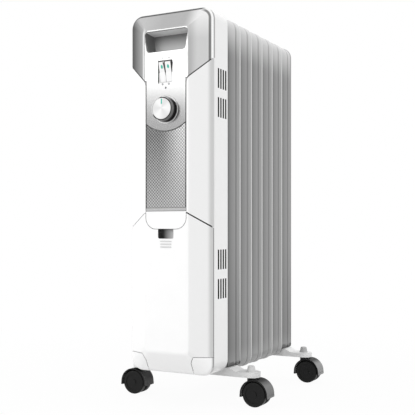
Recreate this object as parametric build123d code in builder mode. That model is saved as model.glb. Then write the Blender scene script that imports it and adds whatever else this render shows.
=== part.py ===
"""Oil filled radiator heater on casters: folded fins, a control housing with a cord compartment, two feet."""

import os

from build123d import *

os.makedirs("parts", exist_ok=True)

# Control housing. Depths are measured from its rim, where the bulged front meets the straight sides.
box_width = 150
box_height = 570
box_bottom = 55
box_top = box_bottom + box_height
box_middle = box_bottom + box_height / 2
box_depth = 50
box_corner = 20
crown = 18
plateau_width = 80
plateau_margin_low = 34
plateau_margin_high = 31
plateau_corner = 9
rim_round = 7
plateau_round = 12
back_round = 3
wall = 2.5
seam_depth = 1
seam_gap = 0.8

# Silver fascia and the white cover around it
fascia_skin = 2.6
cover_skin = 2.8
seat_skin = 2.2
seat_margin = 9
stem_half = 36.5
head_side_z = box_top - 80
knee_z = box_top - 112
knee_round = 12
arc_edge_z = box_top - 178
arc_low_z = box_top - 191
panel_bottom_z = 315
strip_bottom_z = 310
tab_bottom_z = 282
tab_round = 18
door_knee_z = 308
door_side_z = 284

# Handle pocket in the head
handle_z = box_top - 49
handle_height = 32
handle_top_width = 79
handle_bottom_width = 69
handle_round = 5
handle_depth = 26
handle_draft = 6
handle_edge = 0.8
pocket_wall = 2
pocket_flange = 4

# Rocker switches
switch_z = box_top - 97.5
switch_width = 24
switch_height = 35
switch_depth = 24
switch_wall = 1.2
switch_web = 0.8
rocker_pivot = 4
rocker_radius = 16.1
rocker_end = 5.5
rocker_middle = 4.5
rocker_back = 2
rocker_tilt = 11
rocker_pin_radius = 1.2
lens_radius = 1.3
lens_height = 8
lens_depth = 1.5
lens_proud = 0.2
switch_sunk = 0.4
switch_flange = 2
rocker_clearance = 0.2

# Thermostat and its knob
knob_z = box_top - 157
knob_stand = 13
knob_base_radius = 19
knob_taper = 5
knob_clearance = 0.5
knob_wall = 3
knob_hollow = 8
knob_hub_radius = 6
cap_radius = 16.5
cap_thick = 2
cap_round = 0.8
pointer_width = 2
pointer_length = 8
pointer_margin = 1.5
pointer_deep = 0.8
ring_radius = 22.2
ring_inner = 19.6
ring_proud = 1.2
ring_sunk = 1
shaft_radius = 3
bush_radius = 4.5
thermostat_size = 34
thermostat_thick = 16
thermostat_corner = 4
shaft_seat = 10
tag_width = 4.8
tag_thick = 0.8
tag_length = 7
terminal_pitch = 10

# Cord compartment: door, hinge blocks and liner; the gland of the mains lead is in the floor of the shell
block_in = 41
block_top_in = 46
block_shoulder_z = 75
block_top_z = 85
hinge_depth = 3
hinge_z = 67
hinge_pin_radius = 2.5
knuckle_radius = 5
knuckle_width = 7
knuckle_lean = 28
cheek_thick = 4
cheek_depth = 14
lip_thick = 0.8
lip_overlap = 3.2
finger_width = 28
finger_bottom_z = 267
finger_depth = 12
finger_round = 3
grip_lines = 3
grip_top_z = 263
grip_pitch = 4.5
grip_width = 20
grip_thick = 1.2
grip_proud = 0.6
bin_half = 64
bin_floor_z = 80
bin_leg_z = 65
bin_top_z = 300
bin_front = 2
bin_back = 30
bin_wall = 2
bin_round = 5
notch_depth = 17
gland_x = -38
gland_depth = 32
gland_bore = 3.7
gland_width = 12
gland_corner = 2
gland_flange = 9
gland_flange_thick = 2
gland_length = 9

# Vent slots in the sides of the housing
vent_heights = (box_top - 109, box_top - 154, 234.7, 189)
vent_count = 4
vent_first = 15.7
vent_pitch = 8.3
vent_length = 31
vent_width = 3.2

# Radiator fins, pressed from two sheets with the rim folded to the front and to the rear
fin_count = 6
fin_pitch = 44.4
fin_standoff = 11
fin_half = 71.2
fin_top = box_top + 1
fin_bottom = 48
fin_corner = 21
fold_front = 26.5
fold_rear = 16
fold_thick = 1.5
fold_front_drop = 2.2
fold_drop = 0.8
valley_half = 3
valley_depth = 2.8
bead_width = 2.8
sheet = 1.2
channel_half = 6
channel_width = 20
channel_spread = 36
channel_round = 3
header_low_z = 107
header_high_z = box_top - 63
header_width = 112
header_height = 46
hub_radius = 18
hub_bore = 14
hub_cap = 10
hub_wall = 2
vent_cut_half = 46
vent_cut_round = 4
fold_keep = 7
end_fin_bottom = 56
end_fin_corner = 9
end_fin_gap = 0.3

# Heating element, header plug and what is fixed to the mounting plate
plate_thick = 1.5
plate_width = 112
plate_margin = 24
plate_corner = 6
plate_window_width = 60
plate_window_height = 70
plate_window_heights = (box_middle - 140, box_middle - 55, box_middle + 140)
flange_radius = 17
flange_thick = 3
gasket_thick = 1.5
element_rod = 3.2
element_spread = 7
element_length = 230
rod_bend = 0.98
stud_radius = 2
stud_length = 8
plug_hex = 10
plug_thick = 5
plug_shank = 12
screw_head = 3.5
screw_head_thick = 1.8
screw_radius = 1.6
screw_head_bevel = 0.8
screw_margin = 8
screw_heights = (header_low_z + 23, box_middle, header_high_z - 22)
cutout_radius = 9
cutout_thick = 8
cutout_z = box_middle + 80
terminal_width = 40
terminal_height = 18
terminal_depth = 13
terminal_z = box_middle + 5
terminal_well = 2.6

# Feet: pressed channels hung under the end fins by clamps round the lower header
foot_width = 30
foot_wall = 2
foot_low = 46
arm_top = 54
hump_half = 72
hump_slope = 11
front_foot_ahead = 11.5
rear_foot_ahead = 2
clamp_ahead = 8
clamp_rod = 3
clamp_gap = 0.4
nut_radius = 5
nut_thick = 6
nut_wing = 11
nut_wing_thick = 2.4
clamp_tail = 2
foot_boss_radius = 8
cap_base_radius = 7.5
cap_top_radius = 5.2
cap_height = 9.5
stem_cap_round = 1.2

# Casters: two wheels pressed on one axle, under a hood that swivels on its stem
stem_x = 103
stem_radius = 4
stem_grip = 6
trail = 10
wheel_radius = 20
wheel_width = 11
wheel_round = 2
wheel_dish_radius = 14
wheel_dish_depth = 0.8
wheel_cap_radius = 5
wheel_hollow = 6
axle_radius = 2.5
axle_half = 10
web_thick = 4
wheel_gap = 0.6
hood_radius = 23.7
hood_wall = 2.2
hood_half = 14.4
hood_low = 15
hood_step = 0.3
hood_step_height = 4
collar_radius = 6.5
collar_gap = 0.3

running_fit = 0.05
press_clearance = 0.02
seat_clearance = 0.2
cut_margin = 5
reach_margin = 10
edge_band = 0.01

# Places worked out from the sizes above
plateau_low_z = box_bottom + plateau_margin_low
plateau_high_z = box_top - plateau_margin_high
first_fin = box_depth + fin_standoff + fold_front
fin_depths = [first_fin + number * fin_pitch for number in range(fin_count)]
front_depth = -crown - knob_stand
rear_depth = fin_depths[-1] + fold_rear
rim_y = -(front_depth + rear_depth) / 2
seat_back = cover_skin + seat_skin
plate_back = box_depth - wall
plate_front = plate_back - plate_thick
foot_depths = {"front": fin_depths[0] - front_foot_ahead, "rear": fin_depths[-1] - rear_foot_ahead}
wheel_x = stem_x + trail
reach = box_width / 2 + reach_margin
fin_inset = valley_depth + fold_thick / 2
foot_top = end_fin_bottom + fin_inset
screw_side = plate_width / 2 - screw_margin
screw_places = [(x, z) for x in (-screw_side, screw_side) for z in screw_heights]


def facing(depth):
    """Plane that faces the front at a depth behind the rim: x runs to the right and y runs up."""
    return Plane.XZ.offset(-(rim_y + depth))


def export(piece, name):
    """Label a finished piece and write it."""
    piece.part.label = name
    export_step(piece.part, f"parts/{name}.step")


def housing_form(shift):
    """Outer form of the control housing, moved back by shift: straight sides and a crowned front."""
    with BuildPart() as form:
        with BuildSketch(facing(shift)) as rim:
            with Locations((0, box_middle)):
                RectangleRounded(box_width, box_height, box_corner)
        with BuildSketch(facing(shift - crown)):
            with Locations((0, (plateau_low_z + plateau_high_z) / 2)):
                RectangleRounded(plateau_width, plateau_high_z - plateau_low_z, plateau_corner)
        loft(ruled=True)
        extrude(to_extrude=rim.sketch, amount=-box_depth)
        rim_at = rim_y + shift
        fillet(form.edges().filter_by_position(Axis.Y, rim_at - edge_band, rim_at + edge_band), rim_round)
        fillet(form.edges().group_by(Axis.Y)[0], plateau_round)
    return form.part


def inner_form(shift):
    """Hollow of the housing behind a skin as thick as shift, with side walls of the usual thickness."""
    with BuildPart() as hollow:
        add(housing_form(shift))
        with BuildSketch(facing(box_depth + shift)):
            with Locations((0, box_middle)):
                RectangleRounded(box_width - 2 * wall, box_height - 2 * wall, box_corner - wall)
        extrude(amount=box_depth + 2 * crown, mode=Mode.INTERSECT)
    return hollow.part


def fascia_face(plane, grow):
    """Outline of the silver head and stem, down to the arc under the knob."""
    rise = (head_side_z - knee_z) / (box_width / 2 - stem_half)
    side_z = knee_z + rise * (reach - stem_half)
    with BuildSketch(plane) as face:
        with BuildLine():
            FilletPolyline(
                (stem_half, arc_edge_z),
                (stem_half, knee_z),
                (reach, side_z),
                (reach, box_top + reach),
                (-reach, box_top + reach),
                (-reach, side_z),
                (-stem_half, knee_z),
                (-stem_half, arc_edge_z),
                radius=knee_round,
            )
            ThreePointArc((-stem_half, arc_edge_z), (0, arc_low_z), (stem_half, arc_edge_z))
        make_face()
        offset(amount=grow)
    return face.sketch


def cover_face(plane, grow):
    """Outline of all that lies above the seam of the cord compartment's door, with the tab below the stem."""
    rise = (door_knee_z - door_side_z) / (box_width / 2 - stem_half)
    side_z = door_knee_z - rise * (reach - stem_half)
    with BuildSketch(plane) as face:
        with BuildLine():
            FilletPolyline(
                (reach, box_top + reach),
                (-reach, box_top + reach),
                (-reach, side_z),
                (-stem_half, door_knee_z),
                (-stem_half, tab_bottom_z),
                (stem_half, tab_bottom_z),
                (stem_half, door_knee_z),
                (reach, side_z),
                radius=(0, 0, 0, 0, tab_round, tab_round, 0, 0),
                close=True,
            )
        make_face()
        offset(amount=grow)
    return face.sketch


def block_faces(plane, grow):
    """Outlines of the two hinge blocks at the lower corners of the front."""
    with BuildSketch(plane) as face:
        with BuildLine():
            Polyline(
                (block_in, box_bottom - reach),
                (block_in, block_shoulder_z),
                (block_top_in, block_top_z),
                (reach, block_top_z),
                (reach, box_bottom - reach),
                close=True,
            )
        make_face()
        offset(amount=grow)
        mirror(about=Plane.YZ)
    return face.sketch


def stem_face(plane, low, high, grow):
    """Strip across the stem between two heights."""
    with BuildSketch(plane) as face:
        with Locations((0, (low + high) / 2)):
            Rectangle(2 * (stem_half + grow), high - low + 2 * grow)
    return face.sketch


def handle_face(plane, grow):
    """Outline of the handle opening, wider at the top."""
    low = handle_z - handle_height / 2
    high = handle_z + handle_height / 2
    with BuildSketch(plane) as face:
        with BuildLine():
            FilletPolyline(
                (-handle_bottom_width / 2, low),
                (handle_bottom_width / 2, low),
                (handle_top_width / 2, high),
                (-handle_top_width / 2, high),
                radius=handle_round,
                close=True,
            )
        make_face()
        offset(amount=grow)
    return face.sketch


def switch_face(plane, grow):
    """Outline of the window that holds both rocker switches."""
    with BuildSketch(plane) as face:
        with Locations((0, switch_z)):
            RectangleRounded(switch_width + 2 * grow, switch_height + 2 * grow, switch_wall + grow)
    return face.sketch


def disc(plane, height, radius):
    """Round outline on the middle of a plane at a height."""
    with BuildSketch(plane) as face:
        with Locations((0, height)):
            Circle(radius)
    return face.sketch


def front_skin(hollow):
    """Front of the housing, from its crown back to the seam, emptied to a hollow."""
    with BuildPart() as skin:
        add(outer)
        split(bisect_by=facing(seam_depth), keep=Keep.TOP)
        add(hollow, mode=Mode.SUBTRACT)
    return skin.part


outer = housing_form(0)
behind_lip = housing_form(lip_thick)
behind_fascia = inner_form(fascia_skin)
behind_cover = inner_form(cover_skin)
behind_seat = inner_form(seat_back)
thin_skin = front_skin(behind_fascia)
thick_skin = front_skin(behind_cover)
seam = facing(seam_depth)
front_reach = crown + seam_depth + cut_margin
half_gap = seam_gap / 2
bush_hole = bush_radius + seat_clearance
pocket_hole = pocket_wall + seat_clearance
plateau = -crown
gland_place = (gland_x, rim_y + gland_depth)

# Side shell: straight sides and back wall, with vents, header, screw and gland holes, and the door's notch
with BuildPart() as side_shell:
    add(outer)
    split(bisect_by=seam, keep=Keep.BOTTOM)
    fillet(side_shell.edges().group_by(Axis.Y)[-1], back_round)
    with BuildSketch(facing(plate_back)):
        with Locations((0, box_middle)):
            RectangleRounded(box_width - 2 * wall, box_height - 2 * wall, box_corner - wall)
    extrude(amount=plate_back, mode=Mode.SUBTRACT)
    with BuildSketch(facing(box_depth)):
        with Locations((0, header_low_z), (0, header_high_z)):
            Circle(hub_radius + seat_clearance)
        with Locations(*screw_places):
            Circle(screw_radius + press_clearance)
    extrude(amount=wall, mode=Mode.SUBTRACT)
    with BuildSketch(Plane.YZ):
        for vent_z in vent_heights:
            for number in range(vent_count):
                with Locations((rim_y + vent_first + number * vent_pitch, vent_z)):
                    SlotOverall(vent_length, vent_width, rotation=90)
    extrude(amount=box_width, both=True, mode=Mode.SUBTRACT)
    with BuildSketch(facing(notch_depth)):
        with Locations((0, box_bottom)):
            Rectangle(2 * block_in, 4 * wall)
    extrude(amount=notch_depth, mode=Mode.SUBTRACT)
    with BuildSketch(Plane.XY.offset(box_bottom)):
        with Locations(gland_place):
            RectangleRounded(
                gland_width + 2 * press_clearance,
                gland_width + 2 * press_clearance,
                gland_corner + press_clearance,
            )
    extrude(amount=wall, mode=Mode.SUBTRACT)
export(side_shell, "side_shell")

# Silver fascia: head and stem, with the handle opening, the switch window and the seat of the dial ring
with BuildPart() as fascia:
    add(thin_skin)
    extrude(to_extrude=fascia_face(seam, -half_gap), amount=front_reach, mode=Mode.INTERSECT)
    extrude(to_extrude=handle_face(seam, 0), amount=front_reach, mode=Mode.SUBTRACT)
    handle_rim = fascia.edges().group_by(Axis.Y)[0].filter_by_position(
        Axis.Z, handle_z - handle_height / 2 - edge_band, handle_z + handle_height / 2 + edge_band
    )
    chamfer(handle_rim, handle_edge)
    extrude(to_extrude=switch_face(seam, seat_clearance), amount=front_reach, mode=Mode.SUBTRACT)
    extrude(to_extrude=disc(seam, knob_z, bush_hole), amount=front_reach, mode=Mode.SUBTRACT)
    with BuildSketch(facing(plateau + ring_sunk)):
        with Locations((0, knob_z)):
            Circle(ring_radius + press_clearance)
            Circle(ring_inner - press_clearance, mode=Mode.SUBTRACT)
    extrude(amount=cut_margin, mode=Mode.SUBTRACT)
export(fascia, "fascia")

# Grey patterned panel below the arc, and the thin strip under it
with BuildPart() as pattern_panel:
    add(thin_skin)
    with BuildSketch(seam):
        add(stem_face(Plane.XY, panel_bottom_z, knee_z, -half_gap))
        add(fascia_face(Plane.XY, half_gap), mode=Mode.SUBTRACT)
    extrude(amount=front_reach, mode=Mode.INTERSECT)
export(pattern_panel, "pattern_panel")

with BuildPart() as trim_strip:
    add(thin_skin)
    extrude(
        to_extrude=stem_face(seam, strip_bottom_z, panel_bottom_z, -half_gap),
        amount=front_reach,
        mode=Mode.INTERSECT,
    )
export(trim_strip, "trim_strip")

# White front cover: wings and tab, and the seat that carries the fascia and the panel
with BuildPart() as seat:
    add(behind_cover)
    split(bisect_by=seam, keep=Keep.TOP)
    add(behind_seat, mode=Mode.SUBTRACT)
    with BuildSketch(seam):
        with Locations((0, (door_knee_z + plateau_high_z) / 2 - seat_margin / 2)):
            Rectangle(2 * (stem_half + seat_margin), plateau_high_z - door_knee_z + seat_margin)
    extrude(amount=front_reach, mode=Mode.INTERSECT)

with BuildPart() as front_cover:
    add(thick_skin)
    with BuildSketch(seam):
        add(cover_face(Plane.XY, -half_gap))
        add(fascia_face(Plane.XY, half_gap), mode=Mode.SUBTRACT)
        add(stem_face(Plane.XY, strip_bottom_z, knee_z, half_gap), mode=Mode.SUBTRACT)
    extrude(amount=front_reach, mode=Mode.INTERSECT)
    add(seat.part)
    extrude(to_extrude=handle_face(seam, pocket_hole), amount=front_reach, mode=Mode.SUBTRACT)
    extrude(to_extrude=switch_face(seam, seat_clearance), amount=front_reach, mode=Mode.SUBTRACT)
    extrude(to_extrude=disc(seam, knob_z, bush_hole), amount=front_reach, mode=Mode.SUBTRACT)
export(front_cover, "front_cover")

# Handle pocket: a deep tray with drafted walls behind the opening, held by a flange behind the seat
flange_front = plateau + seat_back + seat_clearance
with BuildPart() as pocket_rim:
    extrude(to_extrude=handle_face(facing(flange_front + pocket_wall), pocket_flange), amount=pocket_wall)
    add(behind_seat, mode=Mode.INTERSECT)

with BuildPart() as handle_pocket:
    pocket = handle_face(facing(plateau), pocket_wall)
    extrude(to_extrude=pocket, amount=-handle_depth, taper=handle_draft)
    add(behind_fascia, mode=Mode.INTERSECT)
    add(pocket_rim.part)
    tray = handle_face(facing(plateau), 0)
    extrude(to_extrude=tray, amount=pocket_wall - handle_depth, taper=handle_draft, mode=Mode.SUBTRACT)
export(handle_pocket, "handle_pocket")

# Switch frame: one box with two pockets side by side, a flange behind the seat and three terminals a switch
pocket_width = (switch_width - 2 * switch_wall - switch_web) / 2
pocket_offset = (pocket_width + switch_web) / 2
rocker_places = {"left": -pocket_offset, "right": pocket_offset}
switch_back = plateau + switch_depth
pivot_y = rim_y + plateau + rocker_pivot
with BuildPart() as switch_frame:
    extrude(to_extrude=switch_face(facing(switch_back), 0), amount=switch_depth - switch_sunk)
    extrude(to_extrude=switch_face(facing(flange_front + switch_flange), switch_flange), amount=switch_flange)
    with BuildSketch(facing(switch_back - pocket_wall)):
        with Locations(*[(x, switch_z) for x in rocker_places.values()]):
            Rectangle(pocket_width, switch_height - 2 * switch_wall)
    extrude(amount=switch_depth, mode=Mode.SUBTRACT)
    with BuildSketch(Plane.YZ):
        with Locations((pivot_y, switch_z)):
            Circle(rocker_pin_radius + press_clearance)
    extrude(amount=switch_width, both=True, mode=Mode.SUBTRACT)
    with BuildSketch(facing(switch_back)):
        with Locations((0, switch_z)):
            with GridLocations(2 * pocket_offset, terminal_pitch, 2, 3):
                Rectangle(tag_width, tag_thick)
    extrude(amount=-tag_length)
export(switch_frame, "switch_frame")

with BuildPart() as rocker_pin:
    with BuildSketch(Plane.YZ):
        with Locations((pivot_y, switch_z)):
            Circle(rocker_pin_radius)
    extrude(amount=switch_width / 2, both=True)
export(rocker_pin, "rocker_pin")

# Rockers: shallow V fronts with round ends about the pivot, tilted with the upper half out
rocker_corner = (rocker_radius**2 - rocker_end**2) ** 0.5
rocker_foot = (rocker_radius**2 - rocker_back**2) ** 0.5
lens_seat = rocker_middle + (rocker_end - rocker_middle) * lens_height / rocker_corner - lens_depth
rocker_out = Vector(0, -1, 0).rotate(Axis.X, rocker_tilt)
for side, x in rocker_places.items():
    rocker_side = Plane((x, pivot_y, switch_z), x_dir=rocker_out, z_dir=(-1, 0, 0))
    lens_place = rocker_side.from_local_coords(Vector(lens_seat, lens_height, 0))
    lens_plane = Plane(lens_place, x_dir=(1, 0, 0), z_dir=rocker_side.x_dir)
    with BuildPart() as rocker:
        with BuildSketch(rocker_side):
            with BuildLine():
                Polyline((rocker_end, -rocker_corner), (rocker_middle, 0), (rocker_end, rocker_corner))
                ThreePointArc((rocker_end, rocker_corner), (0, rocker_radius), (-rocker_back, rocker_foot))
                Line((-rocker_back, rocker_foot), (-rocker_back, -rocker_foot))
                ThreePointArc((-rocker_back, -rocker_foot), (0, -rocker_radius), (rocker_end, -rocker_corner))
            make_face()
            Circle(rocker_pin_radius + running_fit, mode=Mode.SUBTRACT)
        extrude(amount=pocket_width / 2 - rocker_clearance, both=True)
        with BuildSketch(lens_plane):
            Circle(lens_radius + press_clearance)
        extrude(amount=2 * lens_depth, mode=Mode.SUBTRACT)
    export(rocker, f"rocker_{side}")
    with BuildPart() as rocker_lens:
        with BuildSketch(lens_plane):
            Circle(lens_radius)
        extrude(amount=lens_depth + lens_proud)
    export(rocker_lens, f"rocker_lens_{side}")

# Dial ring, let into the fascia round the knob
with BuildPart() as dial_ring:
    with BuildSketch(facing(plateau + ring_sunk)):
        with Locations((0, knob_z)):
            Circle(ring_radius)
            Circle(ring_inner, mode=Mode.SUBTRACT)
    extrude(amount=ring_sunk + ring_proud)
    chamfer(dial_ring.edges().group_by(Axis.Y)[0], ring_proud / 2)
export(dial_ring, "dial_ring")

# Knob: tapered body with a white cap let into its face and a pointer let into the cap
knob_front = plateau - knob_stand
knob_back = plateau - knob_clearance
knob_plane = facing(knob_back)
with BuildPart() as knob:
    extrude(
        to_extrude=disc(knob_plane, knob_z, knob_base_radius),
        amount=knob_stand - knob_clearance,
        taper=knob_taper,
    )
    extrude(
        to_extrude=disc(facing(knob_front + cap_thick), knob_z, cap_radius + press_clearance),
        amount=cap_thick,
        mode=Mode.SUBTRACT,
    )
    extrude(
        to_extrude=disc(knob_plane, knob_z, knob_base_radius - knob_wall),
        amount=knob_hollow,
        mode=Mode.SUBTRACT,
    )
    extrude(to_extrude=disc(knob_plane, knob_z, knob_hub_radius), amount=knob_hollow)
    extrude(
        to_extrude=disc(knob_plane, knob_z, shaft_radius + press_clearance),
        amount=knob_hollow,
        mode=Mode.SUBTRACT,
    )
export(knob, "knob")

pointer_z = knob_z + cap_radius - pointer_margin - pointer_length / 2
with BuildPart() as knob_cap:
    extrude(to_extrude=disc(facing(knob_front + cap_thick), knob_z, cap_radius), amount=cap_thick)
    fillet(knob_cap.edges().group_by(Axis.Y)[0], cap_round)
    with BuildSketch(facing(knob_front + pointer_deep)):
        with Locations((0, pointer_z)):
            Rectangle(pointer_width + 2 * press_clearance, pointer_length + 2 * press_clearance)
    extrude(amount=pointer_deep, mode=Mode.SUBTRACT)
export(knob_cap, "knob_cap")

with BuildPart() as knob_pointer:
    with BuildSketch(facing(knob_front + pointer_deep)):
        with Locations((0, pointer_z)):
            Rectangle(pointer_width, pointer_length)
    extrude(amount=pointer_deep)
export(knob_pointer, "knob_pointer")

# Thermostat behind the seat: its bush passes the seat, and its shaft turns with the knob
with BuildPart() as thermostat:
    with BuildSketch(facing(flange_front + thermostat_thick)):
        with Locations((0, knob_z)):
            RectangleRounded(thermostat_size, thermostat_size, thermostat_corner)
    extrude(amount=thermostat_thick)
    extrude(to_extrude=disc(facing(flange_front), knob_z, bush_radius), amount=seat_back)
    extrude(
        to_extrude=disc(facing(flange_front + shaft_seat), knob_z, shaft_radius + running_fit),
        amount=shaft_seat + crown,
        mode=Mode.SUBTRACT,
    )
    with BuildSketch(facing(flange_front + thermostat_thick)):
        with Locations((0, knob_z)):
            with GridLocations(terminal_pitch, terminal_pitch, 2, 1):
                Rectangle(tag_width, tag_thick)
    extrude(amount=-tag_length)
export(thermostat, "thermostat")

with BuildPart() as thermostat_shaft:
    shaft_front = knob_back - knob_hollow + seat_clearance
    shaft_back = flange_front + shaft_seat - seat_clearance
    extrude(to_extrude=disc(facing(shaft_back), knob_z, shaft_radius), amount=shaft_back - shaft_front)
export(thermostat_shaft, "thermostat_shaft")

# Cord compartment door: the lower front with a finger pull, grip lines and two hinge knuckles
hinge_y = rim_y + hinge_depth
door_top_z = tab_bottom_z - half_gap
knuckle_out = block_in - half_gap
with BuildPart() as lip_relief:
    add(behind_lip)
    with BuildSketch(seam):
        with Locations((0, block_top_z + half_gap)):
            Rectangle(2 * reach, 2 * lip_overlap)
        Rectangle(2 * (block_in - half_gap), 2 * box_height, mode=Mode.SUBTRACT)
    extrude(amount=front_reach, mode=Mode.INTERSECT)

with BuildPart() as knuckles:
    with BuildSketch(Plane.YZ.offset(knuckle_out)):
        with Locations((hinge_y, hinge_z)):
            Circle(knuckle_radius)
            Rectangle(2 * crown, 2 * knuckle_radius, rotation=-knuckle_lean, align=(Align.MAX, Align.CENTER))
    extrude(amount=-knuckle_width)
    mirror(about=Plane.YZ)
    add(behind_lip, mode=Mode.INTERSECT)

with BuildPart() as cord_door:
    add(thick_skin)
    with BuildSketch(seam):
        with Locations((0, box_bottom - reach)):
            Rectangle(2 * reach, door_knee_z - box_bottom + reach, align=(Align.CENTER, Align.MIN))
        add(cover_face(Plane.XY, half_gap), mode=Mode.SUBTRACT)
        add(block_faces(Plane.XY, half_gap), mode=Mode.SUBTRACT)
    extrude(amount=front_reach, mode=Mode.INTERSECT)
    add(lip_relief.part, mode=Mode.SUBTRACT)
    add(knuckles.part)
    with BuildSketch(facing(plateau + finger_depth + pocket_wall)):
        with Locations((0, finger_bottom_z - pocket_wall)):
            Rectangle(
                finger_width + 2 * pocket_wall,
                door_top_z - finger_bottom_z + pocket_wall,
                align=(Align.CENTER, Align.MIN),
            )
    extrude(amount=finger_depth)
    with BuildSketch(facing(plateau + finger_depth)):
        with Locations((0, finger_bottom_z)):
            finger = Rectangle(finger_width, box_height, align=(Align.CENTER, Align.MIN))
        fillet(finger.vertices().group_by(Axis.Y)[0], finger_round)
    extrude(amount=finger_depth + cut_margin, mode=Mode.SUBTRACT)
    with BuildSketch(facing(plateau + grip_thick)):
        for number in range(grip_lines):
            with Locations((0, grip_top_z - number * grip_pitch)):
                SlotOverall(grip_width, grip_thick)
    extrude(amount=grip_thick + grip_proud)
    with BuildSketch(Plane.YZ):
        with Locations((hinge_y, hinge_z)):
            Circle(hinge_pin_radius + running_fit)
    extrude(amount=box_width / 2, both=True, mode=Mode.SUBTRACT)
export(cord_door, "cord_door")

# Cord compartment liner, moulded in one with the hinge blocks
with BuildPart() as block_cores:
    extrude(to_extrude=block_faces(facing(cheek_depth), -half_gap), amount=cheek_depth + front_reach)
    with BuildSketch(facing(cheek_depth)):
        with Locations((0, box_bottom + wall + seat_clearance)):
            Rectangle(2 * (block_in + cheek_thick), box_height, align=(Align.CENTER, Align.MIN))
    extrude(amount=cheek_depth + front_reach, mode=Mode.INTERSECT)
    add(behind_lip, mode=Mode.INTERSECT)

with BuildPart() as bin_legs:
    with BuildSketch(facing(bin_back)):
        with Locations((bin_half, bin_leg_z), (bin_wall - bin_half, bin_leg_z)):
            Rectangle(bin_wall, block_top_z - half_gap - bin_leg_z, align=(Align.MAX, Align.MIN))
    extrude(amount=bin_back + front_reach)
    add(behind_lip, mode=Mode.INTERSECT)

with BuildPart() as cord_bin:
    add(thick_skin)
    extrude(to_extrude=block_faces(seam, -half_gap), amount=front_reach, mode=Mode.INTERSECT)
    add(block_cores.part)
    add(bin_legs.part)
    with BuildSketch(facing(bin_back)):
        with Locations((0, (bin_floor_z + bin_top_z) / 2)):
            Rectangle(2 * bin_half, bin_top_z - bin_floor_z)
    extrude(amount=bin_back - bin_front)
    with BuildSketch(facing(bin_back - bin_wall)):
        with Locations((0, (bin_floor_z + bin_top_z) / 2)):
            RectangleRounded(2 * (bin_half - bin_wall), bin_top_z - bin_floor_z - 2 * bin_wall, bin_round)
    extrude(amount=bin_back, mode=Mode.SUBTRACT)
    with BuildSketch(Plane.YZ):
        with Locations((hinge_y, hinge_z)):
            Circle(hinge_pin_radius + press_clearance)
    extrude(amount=block_in + cheek_thick + half_gap, both=True, mode=Mode.SUBTRACT)
export(cord_bin, "cord_bin")

with BuildPart() as hinge_pins:
    with BuildSketch(Plane.YZ.offset(knuckle_out - knuckle_width)):
        with Locations((hinge_y, hinge_z)):
            Circle(hinge_pin_radius)
    extrude(amount=knuckle_width + cheek_thick)
    mirror(about=Plane.YZ)
export(hinge_pins, "hinge_pins")

# Gland of the mains lead, pressed into the floor of the shell from below; its square body cannot turn
with BuildPart() as cord_gland:
    with BuildSketch(Plane.XY.offset(box_bottom)):
        with Locations(gland_place):
            RectangleRounded(gland_width, gland_width, gland_corner)
    extrude(amount=gland_length)
    with BuildSketch(Plane.XY.offset(box_bottom)):
        with Locations(gland_place):
            Circle(gland_flange)
    extrude(amount=-gland_flange_thick)
    chamfer(cord_gland.edges().group_by(Axis.Z)[0], gland_flange_thick / 2)
    with BuildSketch(Plane.XY.offset(box_bottom - gland_flange_thick)):
        with Locations(gland_place):
            Circle(gland_bore)
    extrude(amount=gland_length + gland_flange_thick, mode=Mode.SUBTRACT)
export(cord_gland, "cord_gland")

# Mounting plate, screwed to the back wall of the shell and clamped against the headers of the first fin
with BuildPart() as mounting_plate:
    with BuildSketch(facing(plate_back)):
        with Locations((0, (header_low_z + header_high_z) / 2)):
            RectangleRounded(plate_width, header_high_z - header_low_z + 2 * plate_margin, plate_corner)
        with Locations((0, header_low_z), (0, header_high_z)):
            Circle(hub_bore, mode=Mode.SUBTRACT)
        with Locations(*screw_places):
            Circle(screw_radius + seat_clearance, mode=Mode.SUBTRACT)
        with Locations(*[(0, z) for z in plate_window_heights]):
            RectangleRounded(plate_window_width, plate_window_height, plate_corner, mode=Mode.SUBTRACT)
    extrude(amount=plate_thick)
export(mounting_plate, "mounting_plate")

with BuildPart() as plate_screws:
    with BuildSketch(facing(plate_front)):
        with Locations(*screw_places):
            Circle(screw_head)
    extrude(amount=screw_head_thick)
    chamfer(plate_screws.edges().group_by(Axis.Y)[0], screw_head_bevel)
    with BuildSketch(facing(plate_front)):
        with Locations(*screw_places):
            Circle(screw_radius)
    extrude(amount=-(plate_thick + wall))
export(plate_screws, "plate_screws")

# Heating element: a flange on a gasket, terminal studs, and a U rod along the lower header
flange_back = plate_front - gasket_thick
with BuildPart() as element_gasket:
    with BuildSketch(facing(plate_front)):
        with Locations((0, header_low_z)):
            Circle(flange_radius)
            Circle(hub_bore, mode=Mode.SUBTRACT)
    extrude(amount=gasket_thick)
export(element_gasket, "element_gasket")

with BuildPart() as heating_element:
    extrude(to_extrude=disc(facing(flange_back), header_low_z, flange_radius), amount=flange_thick)
    with BuildLine(Plane.XY.offset(header_low_z)) as rod_path:
        rod_end = rim_y + flange_back + element_length
        FilletPolyline(
            (-element_spread, rim_y + flange_back - flange_thick / 2),
            (-element_spread, rod_end),
            (element_spread, rod_end),
            (element_spread, rim_y + flange_back - flange_thick / 2),
            radius=element_spread * rod_bend,
        )
    with BuildSketch(facing(flange_back - flange_thick / 2)):
        with Locations((-element_spread, header_low_z)):
            Circle(element_rod)
    sweep(path=rod_path.wires()[0])
    with BuildSketch(facing(flange_back - flange_thick)):
        with Locations((-element_spread, header_low_z), (element_spread, header_low_z)):
            Circle(stud_radius)
    extrude(amount=stud_length)
export(heating_element, "heating_element")

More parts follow.
